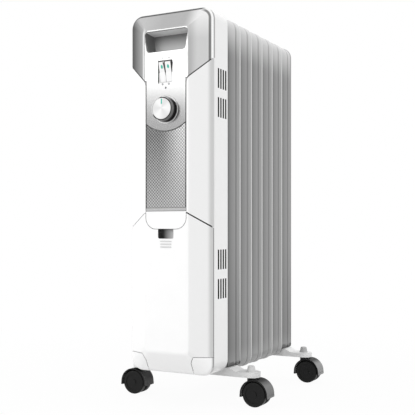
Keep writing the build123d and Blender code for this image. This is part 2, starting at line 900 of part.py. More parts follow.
# Plug that closes the upper header, with a hexagon head
with BuildPart() as header_plug:
    extrude(to_extrude=disc(facing(plate_front), header_high_z, flange_radius), amount=flange_thick)
    with BuildSketch(facing(plate_front - flange_thick)):
        with Locations((0, header_high_z)):
            RegularPolygon(plug_hex, 6)
    extrude(amount=plug_thick)
    shank = disc(facing(plate_front), header_high_z, hub_bore - seat_clearance)
    extrude(to_extrude=shank, amount=-plug_shank)
export(header_plug, "header_plug")

# Thermal cut-out and terminal block on the mounting plate
with BuildPart() as thermal_cutout:
    extrude(to_extrude=disc(facing(plate_front), cutout_z, cutout_radius), amount=cutout_thick)
    with BuildSketch(facing(plate_front - cutout_thick)):
        with Locations((0, cutout_z)):
            with GridLocations(terminal_pitch, terminal_pitch, 2, 1):
                Rectangle(tag_thick, tag_width)
    extrude(amount=tag_length)
export(thermal_cutout, "thermal_cutout")

with BuildPart() as terminal_block:
    with BuildSketch(facing(plate_front)):
        with Locations((0, terminal_z)):
            Rectangle(terminal_width, terminal_height)
    extrude(amount=terminal_depth)
    with BuildSketch(facing(plate_front - terminal_depth)):
        with Locations((0, terminal_z)):
            with GridLocations(terminal_pitch, terminal_pitch, 3, 1):
                Circle(terminal_well)
    extrude(amount=-terminal_depth / 2, mode=Mode.SUBTRACT)
export(terminal_block, "terminal_block")


def fin_outline(inset, bottom, low_corner):
    """Half outline of a fin, from the middle of its top round the right side to the middle of its bottom."""
    high = fin_top - inset
    low = bottom + inset
    side = fin_half - inset
    points = [(0, high), (side, high), (side, low), (0, low)]
    return FilletPolyline(*points, radius=(fin_corner - inset, low_corner - inset))


def make_fin(depth, bottom, low_corner, neck_front, neck_rear, closed, foot_cut):
    """One fin: two sheets welded flat, pressed oil channels, header necks and a folded rim.

    foot_cut is the height to which the rim is cut away over a foot.
    """
    y = rim_y + depth
    front_edge = y - fold_front - cut_margin
    rear_edge = y + fold_rear + cut_margin
    fold_under = fold_drop + fold_thick
    with BuildPart() as fin:
        with BuildSketch(facing(depth)):
            with BuildLine():
                fin_outline(fin_inset, bottom, low_corner)
                Line((0, fin_top - fin_inset), (0, bottom + fin_inset))
            make_face()
            mirror(about=Plane.YZ)
        extrude(amount=sheet, both=True)
        with BuildSketch(facing(depth)):
            with Locations((0, header_low_z), (0, header_high_z)):
                SlotOverall(header_width, header_height)
            with Locations((0, (header_low_z + header_high_z) / 2)):
                with GridLocations(channel_spread, channel_spread, 3, 1):
                    Rectangle(channel_width, header_high_z - header_low_z)
        extrude(amount=channel_half, both=True)
        for pressed_y in (y - channel_half, y + channel_half):
            pressed = fin.edges().filter_by_position(Axis.Y, pressed_y - edge_band, pressed_y + edge_band)
            chamfer(pressed, channel_round)
        for header_z in (header_low_z, header_high_z):
            extrude(to_extrude=disc(facing(depth), header_z, hub_radius), amount=neck_front)
            extrude(to_extrude=disc(facing(depth), header_z, hub_radius), amount=-neck_rear)
            bore_end = neck_rear - (hub_wall if closed else 0)
            bore = disc(facing(depth), header_z, hub_bore)
            extrude(to_extrude=bore, amount=neck_front, mode=Mode.SUBTRACT)
            extrude(to_extrude=bore, amount=-bore_end, mode=Mode.SUBTRACT)
    with BuildPart() as rim:
        with BuildLine(facing(depth)) as rim_path:
            fin_outline(0, bottom, low_corner)
        with BuildSketch(Plane((0, y, fin_top), x_dir=(0, 1, 0), z_dir=(1, 0, 0))):
            with BuildLine():
                Polyline(
                    (-fold_front, -fold_front_drop),
                    (-valley_half, -fold_drop),
                    (-sheet, -valley_depth),
                    (sheet, -valley_depth),
                    (valley_half, -fold_drop),
                    (fold_rear - bead_width, -fold_drop),
                    (fold_rear - bead_width + fold_drop, 0),
                    (fold_rear - fold_drop, 0),
                    (fold_rear, -fold_drop),
                    (fold_rear, -fold_under),
                    (valley_half + sheet, -fold_under),
                    (2 * sheet, -valley_depth - fold_thick),
                    (-2 * sheet, -valley_depth - fold_thick),
                    (-valley_half - sheet, -fold_under),
                    (-fold_front, -fold_front_drop - fold_thick),
                    close=True,
                )
            make_face()
        sweep(path=rim_path.wires()[0])
        mirror(about=Plane.YZ)
        with BuildSketch(Plane.XY.offset(bottom - cut_margin)):
            for low, high in ((front_edge, y - fold_keep), (y + fold_keep, rear_edge)):
                with Locations((0, (low + high) / 2)):
                    RectangleRounded(2 * vent_cut_half, high - low, vent_cut_round)
        extrude(amount=fin_top - bottom + 2 * cut_margin, mode=Mode.SUBTRACT)
        if foot_cut:
            with BuildSketch(Plane.XY.offset(foot_cut)):
                with Locations((0, y)):
                    Rectangle(2 * box_width, 2 * fin_pitch)
            extrude(amount=-box_width, mode=Mode.SUBTRACT)
    with BuildPart() as whole:
        add(fin.part)
        add(rim.part)
    return whole


half_pitch = fin_pitch / 2
front_neck = first_fin - plate_back
foot_cut = foot_top + end_fin_gap
front_fin = make_fin(first_fin, end_fin_bottom, end_fin_corner, front_neck, half_pitch, False, foot_cut)
export(front_fin, "fin_1")
for number, depth in enumerate(fin_depths[1:-1], 2):
    export(make_fin(depth, fin_bottom, fin_corner, half_pitch, half_pitch, False, None), f"fin_{number}")
last_fin = make_fin(fin_depths[-1], end_fin_bottom, end_fin_corner, half_pitch, hub_cap, True, foot_cut)
export(last_fin, f"fin_{fin_count}")

# Feet: channels open below, raised in the middle to carry the end fins, with a boss for each caster stem
hub_reach = hub_radius + clamp_gap + clamp_rod
for end, depth in foot_depths.items():
    y = rim_y + depth
    clamp_y = y - clamp_ahead
    arm_end = stem_x + foot_width / 2
    foot_shapes = []
    for inset in (0, foot_wall):
        with BuildPart() as foot_form:
            with BuildSketch(Plane.XZ.offset(-y)):
                with BuildLine():
                    Polyline(
                        (-arm_end, foot_low),
                        (arm_end, foot_low),
                        (arm_end, arm_top - inset),
                        (hump_half + hump_slope, arm_top - inset),
                        (hump_half, foot_top - inset),
                        (-hump_half, foot_top - inset),
                        (-hump_half - hump_slope, arm_top - inset),
                        (-arm_end, arm_top - inset),
                        close=True,
                    )
                make_face()
            extrude(amount=foot_width, both=True)
            with BuildSketch(Plane.XY.offset(foot_low)):
                with Locations((0, y)):
                    SlotOverall(2 * (arm_end - inset), foot_width - 2 * inset)
            extrude(amount=box_height, mode=Mode.INTERSECT)
        foot_shapes.append(foot_form.part)
    with BuildPart() as foot:
        add(foot_shapes[0])
        add(foot_shapes[1], mode=Mode.SUBTRACT)
        stems = [(-stem_x, y), (stem_x, y)]
        with BuildSketch(Plane.XY.offset(foot_low)):
            with Locations(*stems):
                Circle(foot_boss_radius)
        extrude(amount=arm_top - foot_low)
        with BuildSketch(Plane.XY.offset(foot_low)):
            with Locations(*stems):
                Circle(stem_radius + running_fit)
            with Locations((-hub_reach, clamp_y), (hub_reach, clamp_y)):
                Circle(clamp_rod + seat_clearance)
        extrude(amount=box_height, mode=Mode.SUBTRACT)
    export(foot, f"{end}_foot")

# Clamps: rods bent round the lower header, drawn down against the feet by wing nuts
hump_low = foot_top - foot_wall
clamp_low = hump_low - nut_thick - clamp_tail
clamp_rows = [rim_y + depth - clamp_ahead for depth in foot_depths.values()]
nut_places = [(x, clamp_y) for x in (-hub_reach, hub_reach) for clamp_y in clamp_rows]
with BuildPart() as foot_clamps:
    for clamp_y in clamp_rows:
        with BuildLine(Plane.XZ.offset(-clamp_y)) as clamp_path:
            Line((-hub_reach, clamp_low), (-hub_reach, header_low_z))
            RadiusArc((-hub_reach, header_low_z), (hub_reach, header_low_z), hub_reach)
            Line((hub_reach, header_low_z), (hub_reach, clamp_low))
        with BuildSketch(Plane.XY.offset(clamp_low)):
            with Locations((-hub_reach, clamp_y)):
                Circle(clamp_rod)
        sweep(path=clamp_path.wires()[0])
export(foot_clamps, "foot_clamps")

with BuildPart() as wing_nuts:
    with BuildSketch(Plane.XY.offset(hump_low - nut_thick)):
        with Locations(*nut_places):
            Circle(nut_radius)
            SlotOverall(2 * nut_wing, nut_wing_thick)
            Circle(clamp_rod + press_clearance, mode=Mode.SUBTRACT)
    extrude(amount=nut_thick)
export(wing_nuts, "wing_nuts")

# Cone shaped caps over the caster stems
with BuildPart() as caster_caps:
    cap_places = [(x, rim_y + depth) for x in (-stem_x, stem_x) for depth in foot_depths.values()]
    for place in cap_places:
        with Locations((*place, arm_top)):
            Cone(cap_base_radius, cap_top_radius, cap_height, align=(Align.CENTER, Align.CENTER, Align.MIN))
    fillet(caster_caps.edges().group_by(Axis.Z)[-1], stem_cap_round)
    with BuildSketch(Plane.XY.offset(arm_top)):
        with Locations(*cap_places):
            Circle(stem_radius + running_fit)
    extrude(amount=cap_height - pocket_wall, mode=Mode.SUBTRACT)
export(caster_caps, "caster_caps")


def caster_wheel(x, depth, outward):
    """Wheel with a rounded tread, a dished face and a hollow back, bored for the axle."""
    inner = web_thick / 2 + wheel_gap
    back_plane = facing(depth + outward * inner)
    way = -outward
    with BuildPart() as wheel:
        with BuildSketch(back_plane):
            with Locations((x, wheel_radius)):
                Circle(wheel_radius)
        extrude(amount=way * wheel_width)
        outer_face = -1 if outward > 0 else 0
        fillet(wheel.edges().group_by(Axis.Y)[outer_face], wheel_round)
        chamfer(wheel.edges().group_by(Axis.Y)[-1 - outer_face], wheel_round)
        with BuildSketch(facing(depth + outward * (inner + wheel_width))):
            with Locations((x, wheel_radius)):
                Circle(wheel_dish_radius)
                Circle(wheel_cap_radius, mode=Mode.SUBTRACT)
        extrude(amount=-way * wheel_dish_depth, mode=Mode.SUBTRACT)
        with BuildSketch(back_plane):
            with Locations((x, wheel_radius)):
                Circle(wheel_dish_radius)
                Circle(wheel_cap_radius, mode=Mode.SUBTRACT)
        extrude(amount=way * wheel_hollow, mode=Mode.SUBTRACT)
        with BuildSketch(back_plane):
            with Locations((x, wheel_radius)):
                Circle(axle_radius + press_clearance)
        extrude(amount=way * (axle_half - inner + seat_clearance), mode=Mode.SUBTRACT)
    return wheel


# Casters, one under each end of each foot, with the wheels trailing outwards
collar_top = foot_low - collar_gap
below = (Align.CENTER, Align.MAX)
for end, depth in foot_depths.items():
    for side, way in (("left", -1), ("right", 1)):
        name = f"{end}_{side}"
        x = way * wheel_x
        y = rim_y + depth
        well = hood_radius - hood_wall
        with BuildPart() as hood:
            with BuildSketch(facing(depth)):
                with Locations((x, wheel_radius)):
                    Circle(hood_radius)
                with Locations((x, hood_low + hood_step_height / 2)):
                    Rectangle(2 * (hood_radius + hood_step), hood_step_height)
                with Locations((x, hood_low)):
                    Rectangle(4 * hood_radius, 2 * hood_radius, align=below, mode=Mode.SUBTRACT)
            extrude(amount=hood_half, both=True)
            with BuildSketch(Plane.XY.offset(wheel_radius)):
                with Locations((way * stem_x, y)):
                    Circle(collar_radius)
            extrude(amount=collar_top - wheel_radius)
            with BuildSketch(facing(depth)):
                with Locations((x, wheel_radius)):
                    Circle(well)
            extrude(amount=hood_half, both=True, mode=Mode.SUBTRACT)
            with BuildSketch(facing(depth)):
                with Locations((x, wheel_radius)):
                    Circle(hood_radius - hood_wall / 2)
                with Locations((x, hood_low)):
                    Rectangle(4 * hood_radius, 2 * hood_radius, align=below, mode=Mode.SUBTRACT)
                with Locations((x, wheel_radius)):
                    Circle(wheel_cap_radius)
                    Circle(axle_radius + running_fit, mode=Mode.SUBTRACT)
            extrude(amount=web_thick / 2, both=True)
            with BuildSketch(Plane.XY.offset(collar_top - stem_grip)):
                with Locations((way * stem_x, y)):
                    Circle(stem_radius + press_clearance)
            extrude(amount=stem_grip, mode=Mode.SUBTRACT)
        export(hood, f"{name}_hood")

        with BuildPart() as stem:
            with BuildSketch(Plane.XY.offset(collar_top - stem_grip)):
                with Locations((way * stem_x, y)):
                    Circle(stem_radius)
            extrude(amount=arm_top + cap_height - pocket_wall - seat_clearance - collar_top + stem_grip)
        export(stem, f"{name}_stem")

        with BuildPart() as axle:
            with BuildSketch(facing(depth)):
                with Locations((x, wheel_radius)):
                    Circle(axle_radius)
            extrude(amount=axle_half, both=True)
        export(axle, f"{name}_axle")

        outward = -1 if end == "front" else 1
        export(caster_wheel(x, depth, outward), f"{name}_wheel_outer")
        export(caster_wheel(x, depth, -outward), f"{name}_wheel_inner")
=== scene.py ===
# %% [markdown]
# # Oil filled radiator heater
# The heater's solids come from its CAD model: folded fins, a white control housing, two feet and four
# casters. They arrive in metres, in the model's own frame, and stay exactly where they are.
# This lesson gives every one of them its finish, adds the printed marks, and sets a small photo studio
# round them.

# %% Load the frame
from math import cos, pi, radians, sin, tau

import bmesh
import bpy
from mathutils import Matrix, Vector


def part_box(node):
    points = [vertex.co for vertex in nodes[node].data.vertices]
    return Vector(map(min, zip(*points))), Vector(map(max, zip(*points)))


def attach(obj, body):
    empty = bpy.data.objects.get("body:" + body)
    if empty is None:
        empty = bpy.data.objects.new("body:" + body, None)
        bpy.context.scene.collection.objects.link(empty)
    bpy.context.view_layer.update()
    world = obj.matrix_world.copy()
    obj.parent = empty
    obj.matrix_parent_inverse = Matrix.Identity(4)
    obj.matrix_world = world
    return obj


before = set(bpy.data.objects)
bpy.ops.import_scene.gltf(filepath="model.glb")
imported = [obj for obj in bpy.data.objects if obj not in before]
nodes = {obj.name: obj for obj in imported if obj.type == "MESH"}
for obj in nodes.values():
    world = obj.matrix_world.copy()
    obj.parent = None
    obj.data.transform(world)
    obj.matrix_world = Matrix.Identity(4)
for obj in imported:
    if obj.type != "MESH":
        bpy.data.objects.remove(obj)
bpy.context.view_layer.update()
scene = bpy.context.scene
MM = 0.001

# %% [markdown]
# ## Camera
# The photograph was taken from the right of the heater, with a long lens held level at about half its
# height. A level camera keeps all upright edges upright, so the picture is framed by shifting the lens,
# not by tilting. The image is taken to be square.

# %% Place the camera
SENSOR_MM, LENS_MM, LENS_SHIFT = 36, 69.08, 0.0532
CAMERA_PLACE, CAMERA_TURN = (0.6379, -1.2297, 0.2812), 27.93
camera_data = bpy.data.cameras.new("product_camera")
camera_data.sensor_width = SENSOR_MM
camera_data.lens = LENS_MM
camera_data.shift_y = LENS_SHIFT
camera = bpy.data.objects.new("product_camera", camera_data)
camera.location = CAMERA_PLACE
camera.rotation_euler = (radians(90), 0, radians(CAMERA_TURN))
scene.collection.objects.link(camera)
scene.camera = camera
scene.view_settings.view_transform = "Standard"
print("camera at", CAMERA_PLACE, "with a lens of", LENS_MM, "mm")

# %% [markdown]
# ## Helpers for colours, nodes and zones
# Colours are written as the hex values that a picture editor shows, which are sRGB.
# Shaders work in linear light, so one function turns the first into the second.
# A second small function adds a node, sets the values that are the same all over, and links the rest, so
# that each material below reads from top to bottom like a recipe.
# Much of the shading is drawn by where it lies on the heater. It could be painted on an image, but a zone
# that is worked out from place and direction needs no file and stays sharp. Three more functions mark such
# a zone. It is given by its middle and its reach, in millimetres along the axes, or between -1 and 1 for
# the way that the surface faces.


# %% Colours, nodes, zones and new materials
def linear(hex_colour):
    """Linear RGBA of an sRGB hex colour."""
    channels = [int(hex_colour[start:start + 2], 16) / 255 for start in (1, 3, 5)]
    return [c / 12.92 if c <= 0.04045 else ((c + 0.055) / 1.055) ** 2.4 for c in channels] + [1]


def add(tree, kind, links=None, values=None, **settings):
    """Add a node with its settings, with values and links for its sockets, by their name or number."""
    node = tree.nodes.new(kind)
    for name, value in settings.items():
        setattr(node, name, value)
    for socket, value in (values or {}).items():
        node.inputs[socket].default_value = value
    for socket, output in (links or {}).items():
        tree.links.new(output, node.inputs[socket])
    return node


def axes_and_facing(tree, place):
    """Where a point lies along each axis, and how far its surface faces that way."""
    turned = add(tree, "ShaderNodeTexCoord").outputs["Normal"]
    return [add(tree, "ShaderNodeSeparateXYZ", {"Vector": vector}).outputs for vector in (place, turned)]


def spans(axes, box_mm):
    """Tests for a box: the place along some of the axes, and its middle and reach there."""
    return [(axes[axis], middle * MM, reach * MM) for axis, (middle, reach) in box_mm.items()]


def inside(tree, *tests):
    """1 where each output lies within a reach of its middle value, and 0 elsewhere."""
    found = None
    for output, middle, reach in tests:
        limits = {1: middle, 2: reach}
        near = add(tree, "ShaderNodeMath", {0: output}, limits, operation="COMPARE").outputs[0]
        if found:
            near = add(tree, "ShaderNodeMath", {0: found, 1: near}, operation="MULTIPLY").outputs[0]
        found = near
    return found


def new_material(name):
    """Empty material, with its tree and its points' places in the frame, in metres."""
    material = bpy.data.materials.new(name)
    material.use_nodes = True
    material.node_tree.nodes.clear()
    place = add(material.node_tree, "ShaderNodeTexCoord").outputs["Object"]
    return material, material.node_tree, place


def show(tree, shader):
    """Link a shader to the material's output."""
    add(tree, "ShaderNodeOutputMaterial", {"Surface": shader.outputs[0]})


def dress(material, *names):
    """Give CAD nodes a material in place of the one that they came with."""
    for name in names:
        nodes[name].data.materials.clear()
        nodes[name].data.materials.append(material)
    print(material.name, "on", len(names), "nodes")


MIX_A, MIX_B, MIX_RESULT = 6, 7, 2
print("helpers ready: mid grey is", round(linear("#808080")[0], 3), "in linear light")

# %% [markdown]
# ## Studio
# A white appliance is photographed in a tent of white light that is brightest overhead, so tops come out
# lighter than sides. A ring of lamps could do that, but a world whose light grows from the horizon to the
# zenith is simpler and throws no hard shadows. Mirror-like rays and the camera see a plain white tent
# instead, or the silver parts would burn out.
# A softbox stands at the front left, where the flat of the silver head mirrors it, which turns that flat
# white. A second one beside it only washes the white front, and no mirror shows it.

# %% World and softboxes
HORIZON_LEVEL, ZENITH_LEVEL, MIRRORED_LEVEL = 0.74, 1.7, 1.0
FLOAT_A, FLOAT_B = 2, 3


def sharp_rays(tree):
    """1 for the camera's rays and for mirror-like ones, and 0 for scattered light."""
    rays = add(tree, "ShaderNodeLightPath").outputs
    sharp = rays["Is Camera Ray"]
    for kind in ("Is Glossy Ray", "Is Transmission Ray"):
        sharp = add(tree, "ShaderNodeMath", {0: sharp, 1: rays[kind]}, operation="MAXIMUM").outputs[0]
    return sharp


world = bpy.data.worlds.new("white_tent")
world.use_nodes = True
scene.world = world
sky = world.node_tree
back = sky.nodes["Background"]
back.inputs["Color"].default_value = (1, 1, 1, 1)
way = add(sky, "ShaderNodeTexCoord").outputs["Generated"]
upward = add(sky, "ShaderNodeSeparateXYZ", {"Vector": way}).outputs["Z"]
levels = {"To Min": HORIZON_LEVEL, "To Max": ZENITH_LEVEL}
dome = add(sky, "ShaderNodeMapRange", {"Value": upward}, levels).outputs["Result"]
over = {"Factor": sharp_rays(sky), FLOAT_A: dome}
level = add(sky, "ShaderNodeMix", over, {FLOAT_B: MIRRORED_LEVEL})
sky.links.new(level.outputs["Result"], back.inputs["Strength"])


def softbox(name, place, target, width, height, radiance):
    """Area lamp of a given brightness, turned to a target."""
    lamp_data = bpy.data.lights.new(name, "AREA")
    lamp_data.shape = "RECTANGLE"
    lamp_data.size = width
    lamp_data.size_y = height
    lamp_data.energy = radiance * pi * width * height
    lamp = bpy.data.objects.new(name, lamp_data)
    lamp.location = place
    lamp.rotation_euler = (Vector(target) - Vector(place)).to_track_quat("-Z", "Y").to_euler()
    lamp.visible_camera = False
    scene.collection.objects.link(lamp)
    return lamp


softbox("front_softbox", place=(-0.95, -1.85, 1.45), target=(0, -0.16, 0.45),
        width=1.2, height=1.3, radiance=2.0)
wash = softbox("front_wash", place=(-1.1, -2.0, 0.7), target=(0, -0.16, 0.35),
               width=1.2, height=1.2, radiance=0.75)
wash.visible_glossy = False
print("tent from", HORIZON_LEVEL, "at the horizon to", ZENITH_LEVEL, "overhead, with two softboxes")

# %% [markdown]
# ## Floor
# The heater stands on seamless pale paper.
# In the picture such paper is lit until it reads as white and keeps only a breath of shadow, so what the
# camera and the mirror-like surfaces see of it is mostly plain white, and all of it further out, where no
# horizon may show.

# %% Lay the floor
FLOOR_HALF, FIBRE_MM = 6.0, 4
FADE_START, FADE_END, NEAR_WHITE = 0.35, 1.0, 0.955
floor_mesh = bpy.data.meshes.new("floor")
corners = [(x * FLOOR_HALF, y * FLOOR_HALF, 0) for x, y in ((-1, -1), (1, -1), (1, 1), (-1, 1))]
floor_mesh.from_pydata(corners, [], [(0, 1, 2, 3)])
floor = bpy.data.objects.new("floor", floor_mesh)
scene.collection.objects.link(floor)
paper, tree, place = new_material("pale_paper")
away = add(tree, "ShaderNodeVectorMath", {0: place}, operation="LENGTH").outputs["Value"]
ends = {"From Min": FADE_START, "From Max": FADE_END, "To Min": NEAR_WHITE, "To Max": 1}
fade = add(tree, "ShaderNodeMapRange", {"Value": away}, ends, interpolation_type="SMOOTHSTEP")
terms = {0: fade.outputs["Result"], 1: sharp_rays(tree)}
amount = add(tree, "ShaderNodeMath", terms, operation="MULTIPLY").outputs[0]
fibre = add(tree, "ShaderNodeTexNoise", {"Vector": place}, {"Scale": 1 / (FIBRE_MM * MM), "Detail": 2})
tones = {MIX_A: linear("#CACACA"), MIX_B: linear("#D0D0D0")}
toned = add(tree, "ShaderNodeMix", {"Factor": fibre.outputs["Fac"]}, tones, data_type="RGBA")
matt = add(tree, "ShaderNodeBsdfDiffuse", {"Color": toned.outputs[MIX_RESULT]}).outputs[0]
plain = add(tree, "ShaderNodeEmission", values={"Color": (1, 1, 1, 1), "Strength": 1.0}).outputs[0]
show(tree, add(tree, "ShaderNodeMixShader", {0: amount, 1: matt, 2: plain}))
floor_mesh.materials.append(paper)
print("floor", 2 * FLOOR_HALF, "m wide, white from", FADE_END, "m out")

# %% [markdown]
# ## White gloss ABS
# The housing is injection moulded ABS, a hard plastic with a high gloss from its polished mould.
# To the eye that is a clean white with soft, slightly wavy reflections: the skin sinks a few microns as
# it cools. Real dents would need a very fine mesh, so a noise gives that waviness as a shallow bump, and a
# wider one varies the tone and the roughness a little.

# %% White ABS: the skin
SINK_MM, WAVE_MM, WAVE_DEEP_MM = 40, 3, 0.01
ABS_IOR = 1.54
white_abs, tree, place = new_material("white_gloss_abs")
axes, facing = axes_and_facing(tree, place)
cloud = add(tree, "ShaderNodeTexNoise", {"Vector": place}, {"Scale": 1 / (SINK_MM * MM), "Detail": 2})
cloud = cloud.outputs["Fac"]
tones = {MIX_A: linear("#E9E9E9"), MIX_B: linear("#ECECEC")}
white = add(tree, "ShaderNodeMix", {"Factor": cloud}, tones, data_type="RGBA").outputs[MIX_RESULT]
rough = add(tree, "ShaderNodeMapRange", {"Value": cloud}, {"To Min": 0.16, "To Max": 0.28}).outputs["Result"]
peel = add(tree, "ShaderNodeTexNoise", {"Vector": place}, {"Scale": 1 / (WAVE_MM * MM), "Detail": 1})
depth = {"Distance": WAVE_DEEP_MM * MM, "Strength": 0.5}
wave = add(tree, "ShaderNodeBump", {"Height": peel.outputs["Fac"]}, depth).outputs["Normal"]
print("white skin with waves", WAVE_MM, "mm wide")

# %% [markdown]
# The right side of the front is a facet that turns from the light, so it gets painted shade, and the
# rounded edge beside it gets a painted reflection of the dim side of the room. Along the edges of the door
# and of the head, painted shade draws fine grey lines, and three grip lines lie on the door below its
# finger recess. All of these are zones, each with its tone. They are collected as layers, from the lowest
# to the topmost, and painted at the end.

# %% White ABS: edges
RIM_Y_MM = -147.25
FACET_X, FACET_Y, FACET_MM = (0.45, 0.2), (-0.88, 0.15), {"Z": (340, 254)}
EDGE_X, EDGE_FADE, EDGE_Y = 0.78, {"From Min": 0.24, "From Max": 0.05}, (-0.55, 0.4)
RIM_FADE = {"From Min": 65.2 * MM, "From Max": 72 * MM}
GRIP_LINES, GRIP_TOP_MM, GRIP_PITCH_MM, GRIP_MM = 3, 263, 4.5, {"X": (0, 10), "Y": (-165.7, 0.3)}
DOOR_EDGE_MM = {"X": (74.5, 1.6), "Y": (RIM_Y_MM + 0.9, 0.7), "Z": (170, 114)}
HEAD_EDGE_MM = {"X": (73, 3.1), "Y": (RIM_Y_MM + 2.2, 1.8), "Z": (580, 35)}
right_facet = inside(tree, (facing["X"], *FACET_X), (facing["Y"], *FACET_Y), *spans(axes, FACET_MM))
off_edge = add(tree, "ShaderNodeMath", {0: facing["X"]}, {1: EDGE_X}, operation="SUBTRACT").outputs[0]
off_edge = add(tree, "ShaderNodeMath", {0: off_edge}, operation="ABSOLUTE").outputs[0]
edge = add(tree, "ShaderNodeMapRange", {"Value": off_edge}, EDGE_FADE).outputs["Result"]
to_front = inside(tree, (facing["Y"], *EDGE_Y))
edge = add(tree, "ShaderNodeMath", {0: edge, 1: to_front}, operation="MULTIPLY").outputs[0]
rim = add(tree, "ShaderNodeMapRange", {"Value": axes["X"]}, RIM_FADE, interpolation_type="SMOOTHSTEP")
rim = add(tree, "ShaderNodeMath", {0: rim.outputs["Result"], 1: right_facet}, operation="MULTIPLY").outputs[0]
edge = add(tree, "ShaderNodeMath", {0: edge, 1: rim}, operation="MAXIMUM").outputs[0]
# painted shade on the right facet, and a painted reflection on its rounded edge
layers = [(right_facet, "#E1E1E1"), (edge, "#BEBEBE")]
for line in range(GRIP_LINES):
    line_mm = {**GRIP_MM, "Z": (GRIP_TOP_MM - GRIP_PITCH_MM * line, 0.7)}
    layers.append((inside(tree, *spans(axes, line_mm)), "#C4C4C4"))
# painted shade along the edges of the door and of the head
layers.append((inside(tree, *spans(axes, DOOR_EDGE_MM)), "#868686"))
layers.append((inside(tree, *spans(axes, HEAD_EDGE_MM)), "#A4A4A4"))
print("white edges:", len(layers), "layers")

# %% [markdown]
# The walls of parting gaps and vent slots lie in deep shade. They are thinner than a pixel, so their shade
# is painted as a dark tone, drawn a little wider than they are. Light still reaches into the level gaps
# above the corner blocks of the door, so no shade is painted there. The slanted gap above the door has the
# same height all along, less its fall with x. The finger recess of the door gets painted shade too, which
# lightens to the right. Deeper slots could do the same, but the solids stay as they are.

# %% White ABS: gaps and vents
VENT_START_MM, VENT_PITCH_MM, VENT_PITCHES = RIM_Y_MM + 11.55, 8.3, 4
VENT_HEIGHTS_MM, VENT_HALF_MM, SIDE_MM = [516, 471, 234.7, 189], 15.5, (75, 3)
SLOT_MIDDLE, SLOT_REACH = 0.5, 0.29
WALL_Y, WALLS_MM = (0, 0.3), {"X": (0, 66.5), "Y": (-162.6, 16.4), "Z": (350, 288)}
LEVEL_GAP_MM = {"Z": (85.5, 1.7)}
SLANT_FALL, SLANT_MM, SLANT_BOX_MM = 0.6234, (330.75, 1.15), {"X": (55.5, 18.5), "Y": (-157, 9)}
RECESS_MM = {"X": (0, 14.5), "Y": (-155.2, 9.7), "Z": (274.5, 8.3)}
RECESS_FADE = {"From Min": -12 * MM, "From Max": 10 * MM}
aside = add(tree, "ShaderNodeMath", {0: axes["X"]}, operation="ABSOLUTE").outputs[0]
pitch_ends = {"From Min": VENT_START_MM * MM, "From Max": (VENT_START_MM + VENT_PITCH_MM) * MM}
slots = add(tree, "ShaderNodeMapRange", {"Value": axes["Y"]}, pitch_ends, clamp=False).outputs["Result"]
slots = add(tree, "ShaderNodeMath", {0: slots}, operation="FRACT").outputs[0]
half_row_mm = VENT_PITCHES * VENT_PITCH_MM / 2
sources = {"aside": aside, "Y": axes["Y"], "Z": axes["Z"]}
# painted shade in the vent slots
for height in VENT_HEIGHTS_MM:
    row_mm = {"aside": SIDE_MM, "Y": (VENT_START_MM + half_row_mm, half_row_mm), "Z": (height, VENT_HALF_MM)}
    vents = inside(tree, (slots, SLOT_MIDDLE, SLOT_REACH), *spans(sources, row_mm))
    layers.append((vents, "#101010"))
walls = inside(tree, (facing["Y"], *WALL_Y), *spans(axes, WALLS_MM))
lit_gap = inside(tree, *spans(axes, LEVEL_GAP_MM))
walls = add(tree, "ShaderNodeMath", {0: walls, 1: lit_gap}, operation="SUBTRACT", use_clamp=True).outputs[0]
terms = {0: axes["X"], 2: axes["Z"]}
fallen = add(tree, "ShaderNodeMath", terms, {1: SLANT_FALL}, operation="MULTIPLY_ADD").outputs[0]
slanted_gap = inside(tree, *spans({"fallen": fallen}, {"fallen": SLANT_MM}), *spans(axes, SLANT_BOX_MM))
recess = inside(tree, *spans(axes, RECESS_MM))
across = add(tree, "ShaderNodeMapRange", {"Value": axes["X"]}, RECESS_FADE).outputs["Result"]
lit_recess = add(tree, "ShaderNodeMath", {0: recess, 1: across}, operation="MULTIPLY").outputs[0]
# painted shade in the parting gaps and in the finger recess, which lightens to the right
layers += [(walls, "#101010"), (slanted_gap, "#101010"), (recess, "#444444"), (lit_recess, "#DCDCDC")]
print("vents at", VENT_HEIGHTS_MM, "mm, and", len(layers), "layers so far")

# %% [markdown]
# Each rocker glows teal round its lens. A lamp behind the lens would add noise to the picture, so the glow
# is a painted tone that fades outwards. The raised half of the left rocker shades its edge next to the
# right one, painted as a wedge of shade that narrows downwards, and the side of the right rocker gets such a
# wedge of painted shade too.
# With that the white has all its layers, and they are painted one over the other.

# %% White ABS: rockers and finish
LENS_X_MM, LENS_Z_MM, LENS_SQUEEZE = 5.6, 534.5, 1.6
GLOW_FADE = {"From Min": 3.6 * MM, "From Max": 2.4 * MM}
WEDGE_LEAN, WEDGE_MM, WEDGE_BOX_MM = 0.14, (74.34, 2), {"X": (-2, 2.2), "Z": (531, 10)}
ROCKER_SIDE_MM = {"X": (11, 1.5), "Z": (528, 20)}
from_lens = add(tree, "ShaderNodeCombineXYZ", {"X": aside, "Z": axes["Z"]}).outputs[0]
lens_place = {1: (LENS_X_MM * MM, 0, LENS_Z_MM * MM)}
from_lens = add(tree, "ShaderNodeVectorMath", {0: from_lens}, lens_place, operation="SUBTRACT").outputs[0]
squeeze = {1: (LENS_SQUEEZE, 0, 1)}
from_lens = add(tree, "ShaderNodeVectorMath", {0: from_lens}, squeeze, operation="MULTIPLY").outputs[0]
from_lens = add(tree, "ShaderNodeVectorMath", {0: from_lens}, operation="LENGTH").outputs["Value"]
glow = add(tree, "ShaderNodeMapRange", {"Value": from_lens}, GLOW_FADE).outputs["Result"]
terms = {0: axes["Z"], 2: axes["X"]}
lean = add(tree, "ShaderNodeMath", terms, {1: WEDGE_LEAN}, operation="MULTIPLY_ADD").outputs[0]
wedge = inside(tree, *spans({"lean": lean}, {"lean": WEDGE_MM}), *spans(axes, WEDGE_BOX_MM))
